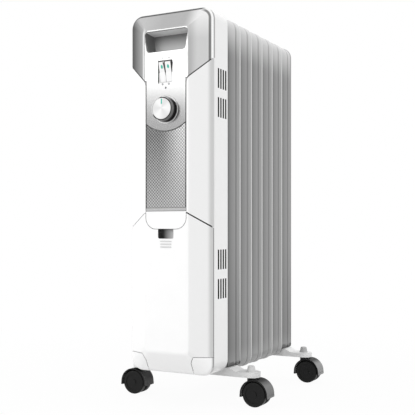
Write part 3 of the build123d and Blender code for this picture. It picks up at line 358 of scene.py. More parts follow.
right_side = inside(tree, (facing["Y"], *WALL_Y), *spans(axes, ROCKER_SIDE_MM))
# painted teal glow round the lenses, and painted shade in two wedges
layers += [(glow, "#2FB59C"), (wedge, "#4C4C4C"), (right_side, "#4C4C4C")]
for zone, tone in layers:
    over = {"Factor": zone, MIX_A: white}
    white = add(tree, "ShaderNodeMix", over, {MIX_B: linear(tone)}, data_type="RGBA").outputs[MIX_RESULT]
glossy = {"Base Color": white, "Roughness": rough, "Normal": wave}
show(tree, add(tree, "ShaderNodeBsdfPrincipled", glossy, {"IOR": ABS_IOR}))
dress(white_abs, "side_shell", "front_cover", "cord_door", "cord_bin", "rocker_left", "rocker_right")

# %% [markdown]
# ## Turned cap
# The cap of the dial is the same white ABS, turned to a satin face. Turning leaves fine rings, and they
# throw the light back in soft sectors. The rings are too fine to draw, even as a bump, so the sectors are
# painted into the colour as faint waves of reflection round the middle.

# %% Turned cap
DIAL_Z, SECTORS = 469 * MM, 3
turned_abs, tree, place = new_material("satin_turned_abs")
axes = add(tree, "ShaderNodeSeparateXYZ", {"Vector": place}).outputs
height = add(tree, "ShaderNodeMath", {0: axes["Z"]}, {1: DIAL_Z}, operation="SUBTRACT").outputs[0]
angle = add(tree, "ShaderNodeMath", {0: height, 1: axes["X"]}, operation="ARCTAN2").outputs[0]
angle = add(tree, "ShaderNodeMath", {0: angle}, {1: SECTORS}, operation="MULTIPLY").outputs[0]
swing = add(tree, "ShaderNodeMath", {0: angle}, operation="COSINE").outputs[0]
sector = add(tree, "ShaderNodeMapRange", {"Value": swing}, {"From Min": -1, "From Max": 1}).outputs["Result"]
# painted reflection: lighter and darker sectors round the middle
tones = {MIX_A: linear("#CFCFCF"), MIX_B: linear("#E2E2E2")}
toned = add(tree, "ShaderNodeMix", {"Factor": sector}, tones, data_type="RGBA").outputs[MIX_RESULT]
rough = add(tree, "ShaderNodeMapRange", {"Value": sector}, {"To Min": 0.45, "To Max": 0.35}).outputs["Result"]
satin = {"Base Color": toned, "Roughness": rough}
show(tree, add(tree, "ShaderNodeBsdfPrincipled", satin, {"IOR": ABS_IOR}))
dress(turned_abs, "knob_cap")

# %% [markdown]
# ## Silver lacquer
# The head is ABS sprayed with silver lacquer: aluminium flakes in a clear binder.
# The flakes lie flat on each facet, so every facet mirrors with its own tone. The right one is light, and
# darkens downwards and towards the flat. The left one is dark at its rim and turns into the flat with a
# bright edge. The upper one is lighter at both ends, and the flat darkens towards the dial. The walls of a
# real studio would give these tones by reflection. Here each of them is a painted reflection, a fade along
# an axis, which is easier to steer.

# %% Silver lacquer: facets
# axis, start and end in millimetres, the most that the fade reaches, and its curve
FADES_MM = {
    "right": ("X", 29, 55, 1, "SMOOTHSTEP"),
    "left": ("X", -8, -45, 1, "LINEAR"),
    "down": ("Z", 612, 575, 1, "LINEAR"),
    "to_flat": ("X", 54, 40, 0.75, "SMOOTHSTEP"),
    "from_rim": ("X", -75, -42, 1, "LINEAR"),
    "bright_edge": ("X", -44.5, -41, 1, "SMOOTHSTEP"),
    "to_dial": ("Z", 520, 450, 1, "LINEAR"),
    "right_end": ("X", 54, 62, 1, "LINEAR"),
}
TOP_Z, RIGHT_X, LEFT_FADE = (0.5, 0.2), (0.45, 0.2), {"From Min": -0.15, "From Max": -0.4}
silver, tree, place = new_material("silver_lacquer")
axes, facing = axes_and_facing(tree, place)
fade = {}
for name, (axis, start, end, most, curve) in FADES_MM.items():
    ends = {"From Min": start * MM, "From Max": end * MM, "To Max": most}
    ramp = add(tree, "ShaderNodeMapRange", {"Value": axes[axis]}, ends, interpolation_type=curve)
    fade[name] = ramp.outputs["Result"]
# painted reflections of the facets, each a fade along an axis
tones = {MIX_A: linear("#B8B8B8"), MIX_B: linear("#EEEEEE")}
toned = add(tree, "ShaderNodeMix", {"Factor": fade["right"]}, tones, data_type="RGBA").outputs[MIX_RESULT]
top_facet = inside(tree, (facing["Z"], *TOP_Z))
lighter = add(tree, "ShaderNodeMath", {0: fade["left"], 1: top_facet}, operation="MULTIPLY").outputs[0]
right_facet = inside(tree, (facing["X"], *RIGHT_X))
falling = add(tree, "ShaderNodeMath", {0: fade["down"], 1: right_facet}, operation="MULTIPLY").outputs[0]
by_flat = add(tree, "ShaderNodeMath", {0: fade["to_flat"], 1: falling}, operation="MULTIPLY").outputs[0]
for zone, tone in [(lighter, "#C6C6C6"), (falling, "#D0D0D0"), (by_flat, "#ABABAB")]:
    over = {"Factor": zone, MIX_A: toned}
    toned = add(tree, "ShaderNodeMix", over, {MIX_B: linear(tone)}, data_type="RGBA").outputs[MIX_RESULT]
tones = {MIX_A: linear("#303030"), MIX_B: linear("#AEAEAE")}
left = add(tree, "ShaderNodeMix", {"Factor": fade["from_rim"]}, tones, data_type="RGBA").outputs[MIX_RESULT]
over = {"Factor": fade["bright_edge"], MIX_A: left}
left = add(tree, "ShaderNodeMix", over, {MIX_B: linear("#FFFFFF")}, data_type="RGBA").outputs[MIX_RESULT]
left_facet = add(tree, "ShaderNodeMapRange", {"Value": facing["X"]}, LEFT_FADE).outputs["Result"]
over = {"Factor": left_facet, MIX_A: toned, MIX_B: left}
toned = add(tree, "ShaderNodeMix", over, data_type="RGBA").outputs[MIX_RESULT]
print("silver facets with", len(fade), "fades")

# %% [markdown]
# At the rim a dark outline of painted reflection is drawn, which on the right lies inside a painted bright
# edge. The outline's corners are arcs about a point 55 mm out and 605 mm up, so how far out a point lies
# is measured from there. Lines of painted shade also follow the slanted lower edges of the head, the arc
# under the dial, the sides of the stem and the left side of the switch window.
# The flakes are far too fine to show, so they are drawn half a millimetre wide.

# %% Silver lacquer: outline and finish
FLAKE_MM = 0.5
CORNER_X_MM, CORNER_Z_MM, CORNER_MM = 55, 605, 20
OUTLINE_FADE = {"From Min": 15.2 * MM, "From Max": 16.6 * MM}
BRIGHT_FADE = {"From Min": 16.2 * MM, "From Max": 17.2 * MM}
BAND, BAND_FADE = 14.7 * MM, {"From Min": 2.4 * MM, "From Max": 1.0 * MM, "To Max": 0.8}
HEAD_SLANT, ARC_MIDDLE = -0.831, {1: (0, 0, 491.74 * MM)}
DARK_LINES_MM = [
    {"slant": (483.3, 1.0), "width": (53.7, 17)},
    {"from_dial": (57.2, 0.8), "Z": (438, 12)},
    {"width": (35.9, 0.8), "Z": (479, 37)},
]
WINDOW_SIDE_MM = {"X": (-13.2, 0.8), "Z": (527.5, 18)}
width = add(tree, "ShaderNodeMath", {0: axes["X"]}, operation="ABSOLUTE").outputs[0]
beyond = {}
for axis, source, start in (("X", width, CORNER_X_MM), ("Z", axes["Z"], CORNER_Z_MM)):
    ends = {"From Min": start * MM, "From Max": (start + CORNER_MM) * MM, "To Max": CORNER_MM * MM}
    beyond[axis] = add(tree, "ShaderNodeMapRange", {"Value": source}, ends).outputs["Result"]
out_from = add(tree, "ShaderNodeCombineXYZ", beyond).outputs[0]
out_from = add(tree, "ShaderNodeVectorMath", {0: out_from}, operation="LENGTH").outputs["Value"]
outline = add(tree, "ShaderNodeMapRange", {"Value": out_from}, OUTLINE_FADE).outputs["Result"]
terms = {0: outline, 1: fade["right_end"]}
outline = add(tree, "ShaderNodeMath", terms, operation="SUBTRACT", use_clamp=True).outputs[0]
off_band = add(tree, "ShaderNodeMath", {0: out_from}, {1: BAND}, operation="SUBTRACT").outputs[0]
off_band = add(tree, "ShaderNodeMath", {0: off_band}, operation="ABSOLUTE").outputs[0]
band = add(tree, "ShaderNodeMapRange", {"Value": off_band}, BAND_FADE).outputs["Result"]
band = add(tree, "ShaderNodeMath", {0: band, 1: fade["right_end"]}, operation="MULTIPLY").outputs[0]
outline = add(tree, "ShaderNodeMath", {0: outline, 1: band}, operation="MAXIMUM").outputs[0]
bright = add(tree, "ShaderNodeMapRange", {"Value": out_from}, BRIGHT_FADE).outputs["Result"]
bright = add(tree, "ShaderNodeMath", {0: bright, 1: fade["right_end"]}, operation="MULTIPLY").outputs[0]
terms = {0: width, 2: axes["Z"]}
slant = add(tree, "ShaderNodeMath", terms, {1: HEAD_SLANT}, operation="MULTIPLY_ADD").outputs[0]
flat = add(tree, "ShaderNodeCombineXYZ", {"X": axes["X"], "Z": axes["Z"]}).outputs[0]
from_dial = add(tree, "ShaderNodeVectorMath", {0: flat}, ARC_MIDDLE, operation="DISTANCE").outputs["Value"]
sources = {"slant": slant, "width": width, "from_dial": from_dial, "Z": axes["Z"]}
# painted reflection towards the dial and at the rim, and lines of painted shade along the edges
layers = [(fade["to_dial"], "#A2A2A2"), (bright, "#FAFAFA"), (outline, "#555555")]
layers += [(inside(tree, *spans(sources, line_mm)), "#555555") for line_mm in DARK_LINES_MM]
layers.append((inside(tree, *spans(axes, WINDOW_SIDE_MM)), "#161616"))
for zone, tone in layers:
    over = {"Factor": zone, MIX_A: toned}
    toned = add(tree, "ShaderNodeMix", over, {MIX_B: linear(tone)}, data_type="RGBA").outputs[MIX_RESULT]
flakes = add(tree, "ShaderNodeTexVoronoi", {"Vector": place}, {"Scale": 1 / (FLAKE_MM * MM)}).outputs["Color"]
glint = add(tree, "ShaderNodeSeparateColor", {"Color": flakes}).outputs["Green"]
rough = add(tree, "ShaderNodeMapRange", {"Value": glint}, {"To Min": 0.12, "To Max": 0.22}).outputs["Result"]
mirror_like = {"Base Color": toned, "Roughness": rough}
show(tree, add(tree, "ShaderNodeBsdfPrincipled", mirror_like, {"Metallic": 1.0}))
dress(silver, "fascia")

# %% [markdown]
# ## Bright trim
# The strip under the panel and the ring round the dial are the same lacquer in one even tone.
# A plain metal would look flat on them, so a squeezed noise adds a faint streak, as from polishing.

# %% Bright trim
STREAK_MM, STREAK_SQUEEZE = 6, (1, 1, 12)
bright_trim, tree, place = new_material("bright_silver_trim")
squeezed = add(tree, "ShaderNodeMapping", {"Vector": place}, {"Scale": STREAK_SQUEEZE}).outputs[0]
streak = add(tree, "ShaderNodeTexNoise", {"Vector": squeezed}, {"Scale": 1 / (STREAK_MM * MM), "Detail": 2})
streak = streak.outputs["Fac"]
rough = add(tree, "ShaderNodeMapRange", {"Value": streak}, {"To Min": 0.15, "To Max": 0.3}).outputs["Result"]
tones = {MIX_A: linear("#B6B6B6"), MIX_B: linear("#C8C8C8")}
toned = add(tree, "ShaderNodeMix", {"Factor": streak}, tones, data_type="RGBA").outputs[MIX_RESULT]
polished = {"Base Color": toned, "Roughness": rough}
show(tree, add(tree, "ShaderNodeBsdfPrincipled", polished, {"Metallic": 1.0}))
dress(bright_trim, "trim_strip", "dial_ring")

# %% [markdown]
# ## Diamond textured panel
# Below the dial lies a grey panel with a fine raised diamond pattern, moulded and then lacquered.
# Two crossing waves make the diamonds. The real ones are finer than a pixel of the picture, so they are
# drawn a few millimetres wide, and as a bump, because thousands of small faces would show nothing more.
# Their tops are raised and their hollows sunk in the relief, and the colour adds a painted highlight on the
# tops and painted shade in the hollows. The panel's painted reflection is dark at the upper left and
# lighter to the right and downwards. A line of painted shade runs down each side.

# %% Diamond panel
DIAMOND_MM, DIAMOND_DEEP_MM = 5.0, 0.2
PANEL_RIGHT = {"From Min": -12 * MM, "From Max": 32 * MM}
PANEL_DOWN, LOW_LIGHT = {"From Min": 428 * MM, "From Max": 306 * MM}, 0.7
SIDE_LINE = (35.9 * MM, 0.9 * MM)
diamond, tree, place = new_material("diamond_moulded_lacquer")
axes = add(tree, "ShaderNodeSeparateXYZ", {"Vector": place}).outputs
waves = {}
for socket, axis in enumerate("XZ"):
    turns = {1: tau / (DIAMOND_MM * MM)}
    angle = add(tree, "ShaderNodeMath", {0: axes[axis]}, turns, operation="MULTIPLY").outputs[0]
    waves[socket] = add(tree, "ShaderNodeMath", {0: angle}, operation="COSINE").outputs[0]
both = add(tree, "ShaderNodeMath", waves, operation="MULTIPLY").outputs[0]
height = add(tree, "ShaderNodeMapRange", {"Value": both}, {"From Min": -1, "From Max": 1}).outputs["Result"]
to_right = add(tree, "ShaderNodeMapRange", {"Value": axes["X"]}, PANEL_RIGHT, interpolation_type="SMOOTHSTEP")
downward = add(tree, "ShaderNodeMapRange", {"Value": axes["Z"]}, PANEL_DOWN).outputs["Result"]
over = {"Factor": downward, FLOAT_A: to_right.outputs["Result"]}
light = add(tree, "ShaderNodeMix", over, {FLOAT_B: LOW_LIGHT}).outputs["Result"]
# painted highlight on the diamonds' tops and painted shade in their hollows
relief = {"Factor": height}
for socket, dark, lit in ((MIX_A, "#2C2C2C", "#787878"), (MIX_B, "#929292", "#DADADA")):
    tones = {MIX_A: linear(dark), MIX_B: linear(lit)}
    lighter = add(tree, "ShaderNodeMix", {"Factor": light}, tones, data_type="RGBA")
    relief[socket] = lighter.outputs[MIX_RESULT]
toned = add(tree, "ShaderNodeMix", relief, data_type="RGBA").outputs[MIX_RESULT]
width = add(tree, "ShaderNodeMath", {0: axes["X"]}, operation="ABSOLUTE").outputs[0]
# a line of painted shade down each side of the panel
over = {"Factor": inside(tree, (width, *SIDE_LINE)), MIX_A: toned}
toned = add(tree, "ShaderNodeMix", over, {MIX_B: linear("#484848")}, data_type="RGBA").outputs[MIX_RESULT]
depth = {"Distance": DIAMOND_DEEP_MM * MM, "Strength": 1.0}
raised = add(tree, "ShaderNodeBump", {"Height": height}, depth).outputs["Normal"]
moulded = {"Base Color": toned, "Normal": raised}
show(tree, add(tree, "ShaderNodeBsdfPrincipled", moulded, {"Metallic": 0.85, "Roughness": 0.36}))
dress(diamond, "pattern_panel")

# %% [markdown]
# ## Grained grey ABS
# The handle pocket is moulded in mid grey ABS with a fine spark-eroded grain that keeps fingers from
# slipping. The grain is a noise used as a bump. The pocket gets painted shade that lightens downwards, its
# ceiling a painted highlight, and its left wall more painted shade, so those two are told by the way that
# they face.

# %% Handle pocket
GRAIN_MM, GRAIN_DEEP_MM = 0.8, 0.05
POCKET_DOWN = {"From Min": 586 * MM, "From Max": 564 * MM}
CEILING_Z, LEFT_WALL_X = (-0.9, 0.4), (0.9, 0.4)
pocket_grey, tree, place = new_material("grained_grey_abs")
axes, facing = axes_and_facing(tree, place)
# painted shade, lightening downwards
lower = add(tree, "ShaderNodeMapRange", {"Value": axes["Z"]}, POCKET_DOWN).outputs["Result"]
tones = {MIX_A: linear("#6C6C6C"), MIX_B: linear("#BEBEBE")}
toned = add(tree, "ShaderNodeMix", {"Factor": lower}, tones, data_type="RGBA").outputs[MIX_RESULT]
ceiling = inside(tree, (facing["Z"], *CEILING_Z))
left_wall = inside(tree, (facing["X"], *LEFT_WALL_X))
# painted highlight on the ceiling and painted shade on the left wall
for zone, tone in [(ceiling, "#DCDCDC"), (left_wall, "#6A6A6A")]:
    over = {"Factor": zone, MIX_A: toned}
    toned = add(tree, "ShaderNodeMix", over, {MIX_B: linear(tone)}, data_type="RGBA").outputs[MIX_RESULT]
spark = add(tree, "ShaderNodeTexNoise", {"Vector": place}, {"Scale": 1 / (GRAIN_MM * MM), "Detail": 3})
depth = {"Distance": GRAIN_DEEP_MM * MM, "Strength": 0.6}
pitted = add(tree, "ShaderNodeBump", {"Height": spark.outputs["Fac"]}, depth).outputs["Normal"]
grained = {"Base Color": toned, "Normal": pitted}
show(tree, add(tree, "ShaderNodeBsdfPrincipled", grained, {"Roughness": 0.42, "IOR": ABS_IOR}))
dress(pocket_grey, "handle_pocket")

# %% [markdown]
# ## Black gloss ABS
# The switch frame is near black, so the gaps round the rockers read as dark lines. Painted light lies on
# its lower half, where the rockers are pressed in, and a little on its upper bar.
# The front half of the knob's side gets a painted grey highlight. Its front edge is black, with a painted
# reflection of the tent at the upper left. One material serves both pieces, since they lie apart and its
# zones can't meet.

# %% Switch frame and knob
SMEAR_MM = 5
LOWER_FRAME_MM, UPPER_BAR_MM = {"Z": (514, 12)}, {"Z": (547, 2.5)}
SIDE_HIGHLIGHT_FADE = {"From Min": -171.4 * MM, "From Max": -172.4 * MM}
KNOB_EDGE_Y, KNOB_EDGE_MM = (-0.85, 0.35), {"Y": (-177, 2)}
KNOB_LEAN, KNOB_FADE = -0.45, {"From Min": -220 * MM, "From Max": -223 * MM}
black_abs, tree, place = new_material("black_gloss_abs")
axes, facing = axes_and_facing(tree, place)
smear = add(tree, "ShaderNodeTexNoise", {"Vector": place}, {"Scale": 1 / (SMEAR_MM * MM), "Detail": 3})
smear = smear.outputs["Fac"]
rough = add(tree, "ShaderNodeMapRange", {"Value": smear}, {"To Min": 0.12, "To Max": 0.26}).outputs["Result"]
tones = {MIX_A: linear("#101011"), MIX_B: linear("#18181A")}
toned = add(tree, "ShaderNodeMix", {"Factor": smear}, tones, data_type="RGBA").outputs[MIX_RESULT]
# painted light on the frame's lower half and on its upper bar
lower_frame = inside(tree, *spans(axes, LOWER_FRAME_MM))
upper_bar = inside(tree, *spans(axes, UPPER_BAR_MM))
# painted grey highlight on the front half of the knob's side
side_highlight = add(tree, "ShaderNodeMapRange", {"Value": axes["Y"]}, SIDE_HIGHLIGHT_FADE).outputs["Result"]
front_edge = inside(tree, (facing["Y"], *KNOB_EDGE_Y), *spans(axes, KNOB_EDGE_MM))
terms = {0: axes["Z"], 2: axes["X"]}
lean = add(tree, "ShaderNodeMath", terms, {1: KNOB_LEAN}, operation="MULTIPLY_ADD").outputs[0]
upper_left = add(tree, "ShaderNodeMapRange", {"Value": lean}, KNOB_FADE).outputs["Result"]
# painted reflection of the tent on the knob's front edge, at the upper left
lit_edge = add(tree, "ShaderNodeMath", {0: front_edge, 1: upper_left}, operation="MULTIPLY").outputs[0]
layers = [(lower_frame, "#D4D4D4"), (upper_bar, "#A0A0A0"), (side_highlight, "#747474")]
layers += [(front_edge, "#141414"), (lit_edge, "#C8C8C8")]
for zone, tone in layers:
    over = {"Factor": zone, MIX_A: toned}
    toned = add(tree, "ShaderNodeMix", over, {MIX_B: linear(tone)}, data_type="RGBA").outputs[MIX_RESULT]
glossy = {"Base Color": toned, "Roughness": rough}
show(tree, add(tree, "ShaderNodeBsdfPrincipled", glossy, {"IOR": ABS_IOR, "Specular IOR Level": 0.2}))
dress(black_abs, "switch_frame", "knob")

# %% [markdown]
# ## Teal lenses
# Each rocker has a small teal lens, and the dial's pointer is the same tinted plastic, PMMA.
# It is smooth and glossy, with faint swirls where light gathers in it. A glass shader would look through
# to the dark inside, so a plain glossy one is used.

# %% Teal lenses
SWIRL_MM, PMMA_IOR = 2, 1.49
teal, tree, place = new_material("teal_pmma")
swirl = add(tree, "ShaderNodeTexNoise", {"Vector": place}, {"Scale": 1 / (SWIRL_MM * MM), "Detail": 1})
tones = {MIX_A: linear("#0F9A86"), MIX_B: linear("#34BFA9")}
toned = add(tree, "ShaderNodeMix", {"Factor": swirl.outputs["Fac"]}, tones, data_type="RGBA")
tinted = {"Base Color": toned.outputs[MIX_RESULT]}
show(tree, add(tree, "ShaderNodeBsdfPrincipled", tinted, {"Roughness": 0.12, "IOR": PMMA_IOR}))
dress(teal, "rocker_lens_left", "rocker_lens_right", "knob_pointer")

# %% [markdown]
# ## Powder coated steel
# Fins and feet are pressed steel with a baked powder coat. The powder melts into a skin with a fine orange
# peel, so reflections are soft and a little uneven. The peel is about a millimetre wide, and it is drawn
# wider so that it shows. Three coats share it: mid grey on the fins, light grey on the feet, and a shaded
# grey on the caps over the casters.

# %% Powder coat
PEEL_MM, PEEL_DEEP_MM = 2.5, 0.04
COAT_ROUGH, COAT_SPREAD, COAT_IOR = 0.4, 0.08, 1.5


def powder_coat(name):
    """Start of a powder coat: material, tree, place, and the links that give its peel and roughness."""
    coat, tree, place = new_material(name)
    peel = add(tree, "ShaderNodeTexNoise", {"Vector": place}, {"Scale": 1 / (PEEL_MM * MM), "Detail": 2})
    spread = {"To Min": COAT_ROUGH - COAT_SPREAD, "To Max": COAT_ROUGH + COAT_SPREAD}
    rough = add(tree, "ShaderNodeMapRange", {"Value": peel.outputs["Fac"]}, spread)
    depth = {"Distance": PEEL_DEEP_MM * MM, "Strength": 0.5}
    bumpy = add(tree, "ShaderNodeBump", {"Height": peel.outputs["Fac"]}, depth)
    skin = {"Roughness": rough.outputs["Result"], "Normal": bumpy.outputs["Normal"]}
    return coat, tree, place, skin


print("powder coat with a peel", PEEL_MM, "mm wide")

# %% [markdown]
# On the fins each fold gets painted shade where it starts and in its valley, and it runs out in a bead with
# a painted highlight. One colour ramp that repeats with the pitch of the fins does this for all six. The
# last bead ends the row, and its highlight is painted grey.
# The tops get a painted highlight from the light of the tent, and there the valley stays a line of painted
# shade. At the bottom the fins are painted paler, for the light off the floor. The first and the last fin
# get painted shade that darkens downwards and is darkest in their lowest band, where they sit on the
# foot, with a ragged edge.

# %% Fins
FIN_START_MM, FIN_PITCH_MM = -86.25, 44.4
# painted shade and highlight across each fold, from its start through its valley to its bead
FOLD_TONES = [(0.0, "#5C5C5C"), (0.1, "#6E6E6E"), (0.25, "#7E7E7E"), (0.5, "#8C8C8C"), (0.58, "#7E7E7E"),
              (0.65, "#8C8C8C"), (0.88, "#929292"), (0.91, "#DADADA"), (1.0, "#DADADA")]
# start and end of each fade up the fins in millimetres, the most that it reaches, and its curve
FIN_FADES_MM = {
    "tops": (555, 622, 0.8, "SMOOTHSTEP"),
    "upper": (460, 560, 1, "LINEAR"),
    "bottoms": (95, 52, 0.5, "SMOOTHSTEP"),
    "down": (300, 80, 0.3, "SMOOTHSTEP"),
}
VALLEY, VALLEY_FADE = 0.58, {"From Min": 0.07, "From Max": 0.02}
SHADE_EDGE_MM, SHADE_EDGE_REACH_MM, FOOT_SHADE_FADE = 9, 16, {"From Min": 77 * MM, "From Max": 72 * MM}
LAST_BEAD_MM, INNER_FINS_MM = {"Y": (177.5, 2.2)}, {"Y": (46, 88.5)}
fin_coat, tree, place, skin = powder_coat("grey_powder_coat")
axes = add(tree, "ShaderNodeSeparateXYZ", {"Vector": place}).outputs
pitch_ends = {"From Min": FIN_START_MM * MM, "From Max": (FIN_START_MM + FIN_PITCH_MM) * MM}
phase = add(tree, "ShaderNodeMapRange", {"Value": axes["Y"]}, pitch_ends, clamp=False).outputs["Result"]
phase = add(tree, "ShaderNodeMath", {0: phase}, operation="FRACT").outputs[0]
fold = add(tree, "ShaderNodeValToRGB", {"Fac": phase})
fold.color_ramp.elements[0].color = linear(FOLD_TONES[0][1])
fold.color_ramp.elements[1].color = linear(FOLD_TONES[-1][1])
for position, tone in FOLD_TONES[1:-1]:
    fold.color_ramp.elements.new(position).color = linear(tone)
toned = fold.outputs["Color"]
fade = {}
for name, (start, end, most, curve) in FIN_FADES_MM.items():
    ends = {"From Min": start * MM, "From Max": end * MM, "To Max": most}
    ramp = add(tree, "ShaderNodeMapRange", {"Value": axes["Z"]}, ends, interpolation_type=curve)
    fade[name] = ramp.outputs["Result"]
off_valley = add(tree, "ShaderNodeMath", {0: phase}, {1: VALLEY}, operation="SUBTRACT").outputs[0]
off_valley = add(tree, "ShaderNodeMath", {0: off_valley}, operation="ABSOLUTE").outputs[0]
valley = add(tree, "ShaderNodeMapRange", {"Value": off_valley}, VALLEY_FADE).outputs["Result"]
valley = add(tree, "ShaderNodeMath", {0: valley, 1: fade["upper"]}, operation="MULTIPLY").outputs[0]
last_bead = inside(tree, *spans(axes, LAST_BEAD_MM))
# noise for the ragged edge of the painted shade where the end fins sit on the foot
shade_edge_noise = add(tree, "ShaderNodeTexNoise", {"Vector": place}, {"Scale": 1 / (SHADE_EDGE_MM * MM), "Detail": 3})
terms = {0: shade_edge_noise.outputs["Fac"], 2: axes["Z"]}
ragged = add(tree, "ShaderNodeMath", terms, {1: SHADE_EDGE_REACH_MM * MM}, operation="MULTIPLY_ADD").outputs[0]
foot_shade = add(tree, "ShaderNodeMapRange", {"Value": ragged}, FOOT_SHADE_FADE).outputs["Result"]
foot_shade = add(tree, "ShaderNodeMath", {0: foot_shade, 1: fade["down"]}, operation="MAXIMUM").outputs[0]
terms = {0: foot_shade, 1: inside(tree, *spans(axes, INNER_FINS_MM))}
foot_shade = add(tree, "ShaderNodeMath", terms, operation="SUBTRACT", use_clamp=True).outputs[0]
# painted highlight on tops, shade in the valley, grey last bead, light at bottoms, shade low on end fins
layers = [(fade["tops"], "#DADADA"), (valley, "#767676"), (last_bead, "#9A9A9A")]
layers += [(fade["bottoms"], "#B8B8B8"), (foot_shade, "#4A4A4A")]
for zone, tone in layers:
    over = {"Factor": zone, MIX_A: toned}
    toned = add(tree, "ShaderNodeMix", over, {MIX_B: linear(tone)}, data_type="RGBA").outputs[MIX_RESULT]
show(tree, add(tree, "ShaderNodeBsdfPrincipled", {"Base Color": toned, **skin}, {"IOR": COAT_IOR}))
dress(fin_coat, *sorted(name for name in nodes if name.startswith("fin_")))

# %% [markdown]
# The light coat of the feet is a little cloudy. The rear foot stands further in the light than the front
# one, and the caps over its casters lie more in the shade of the fins. Both change along y, so one fade
# from front to rear serves each coat, as painted light on the feet and painted shade on the caps.

# %% Feet and caps
CLOUD_MM = 60
REAR_FADE = {"From Min": 0, "From Max": 120 * MM}
foot_coat, tree, place, skin = powder_coat("light_powder_coat")
cloud = add(tree, "ShaderNodeTexNoise", {"Vector": place}, {"Scale": 1 / (CLOUD_MM * MM), "Detail": 3})
tones = {MIX_A: linear("#D0D0D0"), MIX_B: linear("#D8D8D8")}
toned = add(tree, "ShaderNodeMix", {"Factor": cloud.outputs["Fac"]}, tones, data_type="RGBA")
axes = add(tree, "ShaderNodeSeparateXYZ", {"Vector": place}).outputs
# painted light, growing towards the rear foot
rearward = add(tree, "ShaderNodeMapRange", {"Value": axes["Y"]}, REAR_FADE).outputs["Result"]
over = {"Factor": rearward, MIX_A: toned.outputs[MIX_RESULT]}
toned = add(tree, "ShaderNodeMix", over, {MIX_B: linear("#E6E6E6")}, data_type="RGBA").outputs[MIX_RESULT]
show(tree, add(tree, "ShaderNodeBsdfPrincipled", {"Base Color": toned, **skin}, {"IOR": COAT_IOR}))
dress(foot_coat, "front_foot", "rear_foot")

cap_coat, tree, place, skin = powder_coat("shaded_powder_coat")
axes = add(tree, "ShaderNodeSeparateXYZ", {"Vector": place}).outputs
# painted shade, growing towards the rear caps
rearward = add(tree, "ShaderNodeMapRange", {"Value": axes["Y"]}, REAR_FADE).outputs["Result"]
tones = {MIX_A: linear("#C6C6C6"), MIX_B: linear("#ACACAC")}
toned = add(tree, "ShaderNodeMix", {"Factor": rearward}, tones, data_type="RGBA").outputs[MIX_RESULT]
show(tree, add(tree, "ShaderNodeBsdfPrincipled", {"Base Color": toned, **skin}, {"IOR": COAT_IOR}))
dress(cap_coat, "caster_caps")

# %% [markdown]
# ## Black nylon
# The casters are black nylon with a spark-eroded texture. The wheels get no painted sheen, so they read as
# smooth and dark. On the hoods a painted grey sheen lies on the side turned to the light, stronger on the
# right and towards the rear, and spotted by the grit. Two lots of nodes would repeat most of this, so one
# function makes both, with the painted sheen or without.

# %% Black nylon
GRIT_MM, GRIT_DEEP_MM, NYLON_IOR = 1.2, 0.06, 1.53
LIT_FADE = {"From Min": 0.45, "From Max": 0.8}
LIT_RIGHT = {"From Min": -60 * MM, "From Max": 60 * MM, "To Min": 0.45}
LIT_REAR = {"From Min": -60 * MM, "From Max": 170 * MM, "To Min": 0.6}
SPOT_SPREAD = {"To Min": 0.6, "To Max": 1.4}


def black_nylon(name, sheen):
    """Black nylon, with a painted grey sheen of a given colour on the sides that face right, or none."""
    nylon, tree, place = new_material(name)
    grit = add(tree, "ShaderNodeTexNoise", {"Vector": place}, {"Scale": 1 / (GRIT_MM * MM), "Detail": 2})
    grit = grit.outputs["Fac"]
    tones = {MIX_A: linear("#080808"), MIX_B: linear("#121212")}
    toned = add(tree, "ShaderNodeMix", {"Factor": grit}, tones, data_type="RGBA").outputs[MIX_RESULT]
    if sheen:
        axes, facing = axes_and_facing(tree, place)
        # painted sheen on the sides that face right, stronger to the right and towards the rear
        lit = add(tree, "ShaderNodeMapRange", {"Value": facing["X"]}, LIT_FADE).outputs["Result"]
        for axis, ends in (("X", LIT_RIGHT), ("Y", LIT_REAR)):
            share = add(tree, "ShaderNodeMapRange", {"Value": axes[axis]}, ends).outputs["Result"]
            lit = add(tree, "ShaderNodeMath", {0: lit, 1: share}, operation="MULTIPLY").outputs[0]
        spotted = add(tree, "ShaderNodeMapRange", {"Value": grit}, SPOT_SPREAD, clamp=False)
        terms = {0: lit, 1: spotted.outputs["Result"]}
        lit = add(tree, "ShaderNodeMath", terms, operation="MULTIPLY", use_clamp=True).outputs[0]
        over = {"Factor": lit, MIX_A: toned}
        toned = add(tree, "ShaderNodeMix", over, {MIX_B: linear(sheen)}, data_type="RGBA").outputs[MIX_RESULT]
    rough = add(tree, "ShaderNodeMapRange", {"Value": grit}, {"To Min": 0.36, "To Max": 0.52})
    depth = {"Distance": GRIT_DEEP_MM * MM, "Strength": 0.5}
    bumpy = add(tree, "ShaderNodeBump", {"Height": grit}, depth)
    skin = {"Base Color": toned, "Roughness": rough.outputs["Result"], "Normal": bumpy.outputs["Normal"]}
    show(tree, add(tree, "ShaderNodeBsdfPrincipled", skin, {"IOR": NYLON_IOR, "Specular IOR Level": 0.2}))
    return nylon


wheel_names = [name for name in nodes if name.endswith(("_wheel_outer", "_wheel_inner"))]
dress(black_nylon("smooth_black_nylon", None), *wheel_names)
dress(black_nylon("grained_black_nylon", "#8E8E8E"), *[name for name in nodes if name.endswith("_hood")])

# %% [markdown]
# ## Plated and sheathed steel
# Clamps, nuts, screws, pins and the inner plate are zinc plated: a pale metal with a soft crystalline
# mottle. The heating element's sheath is annealed, which leaves it darker and browner. A noise mottles
# both, so they share a function.


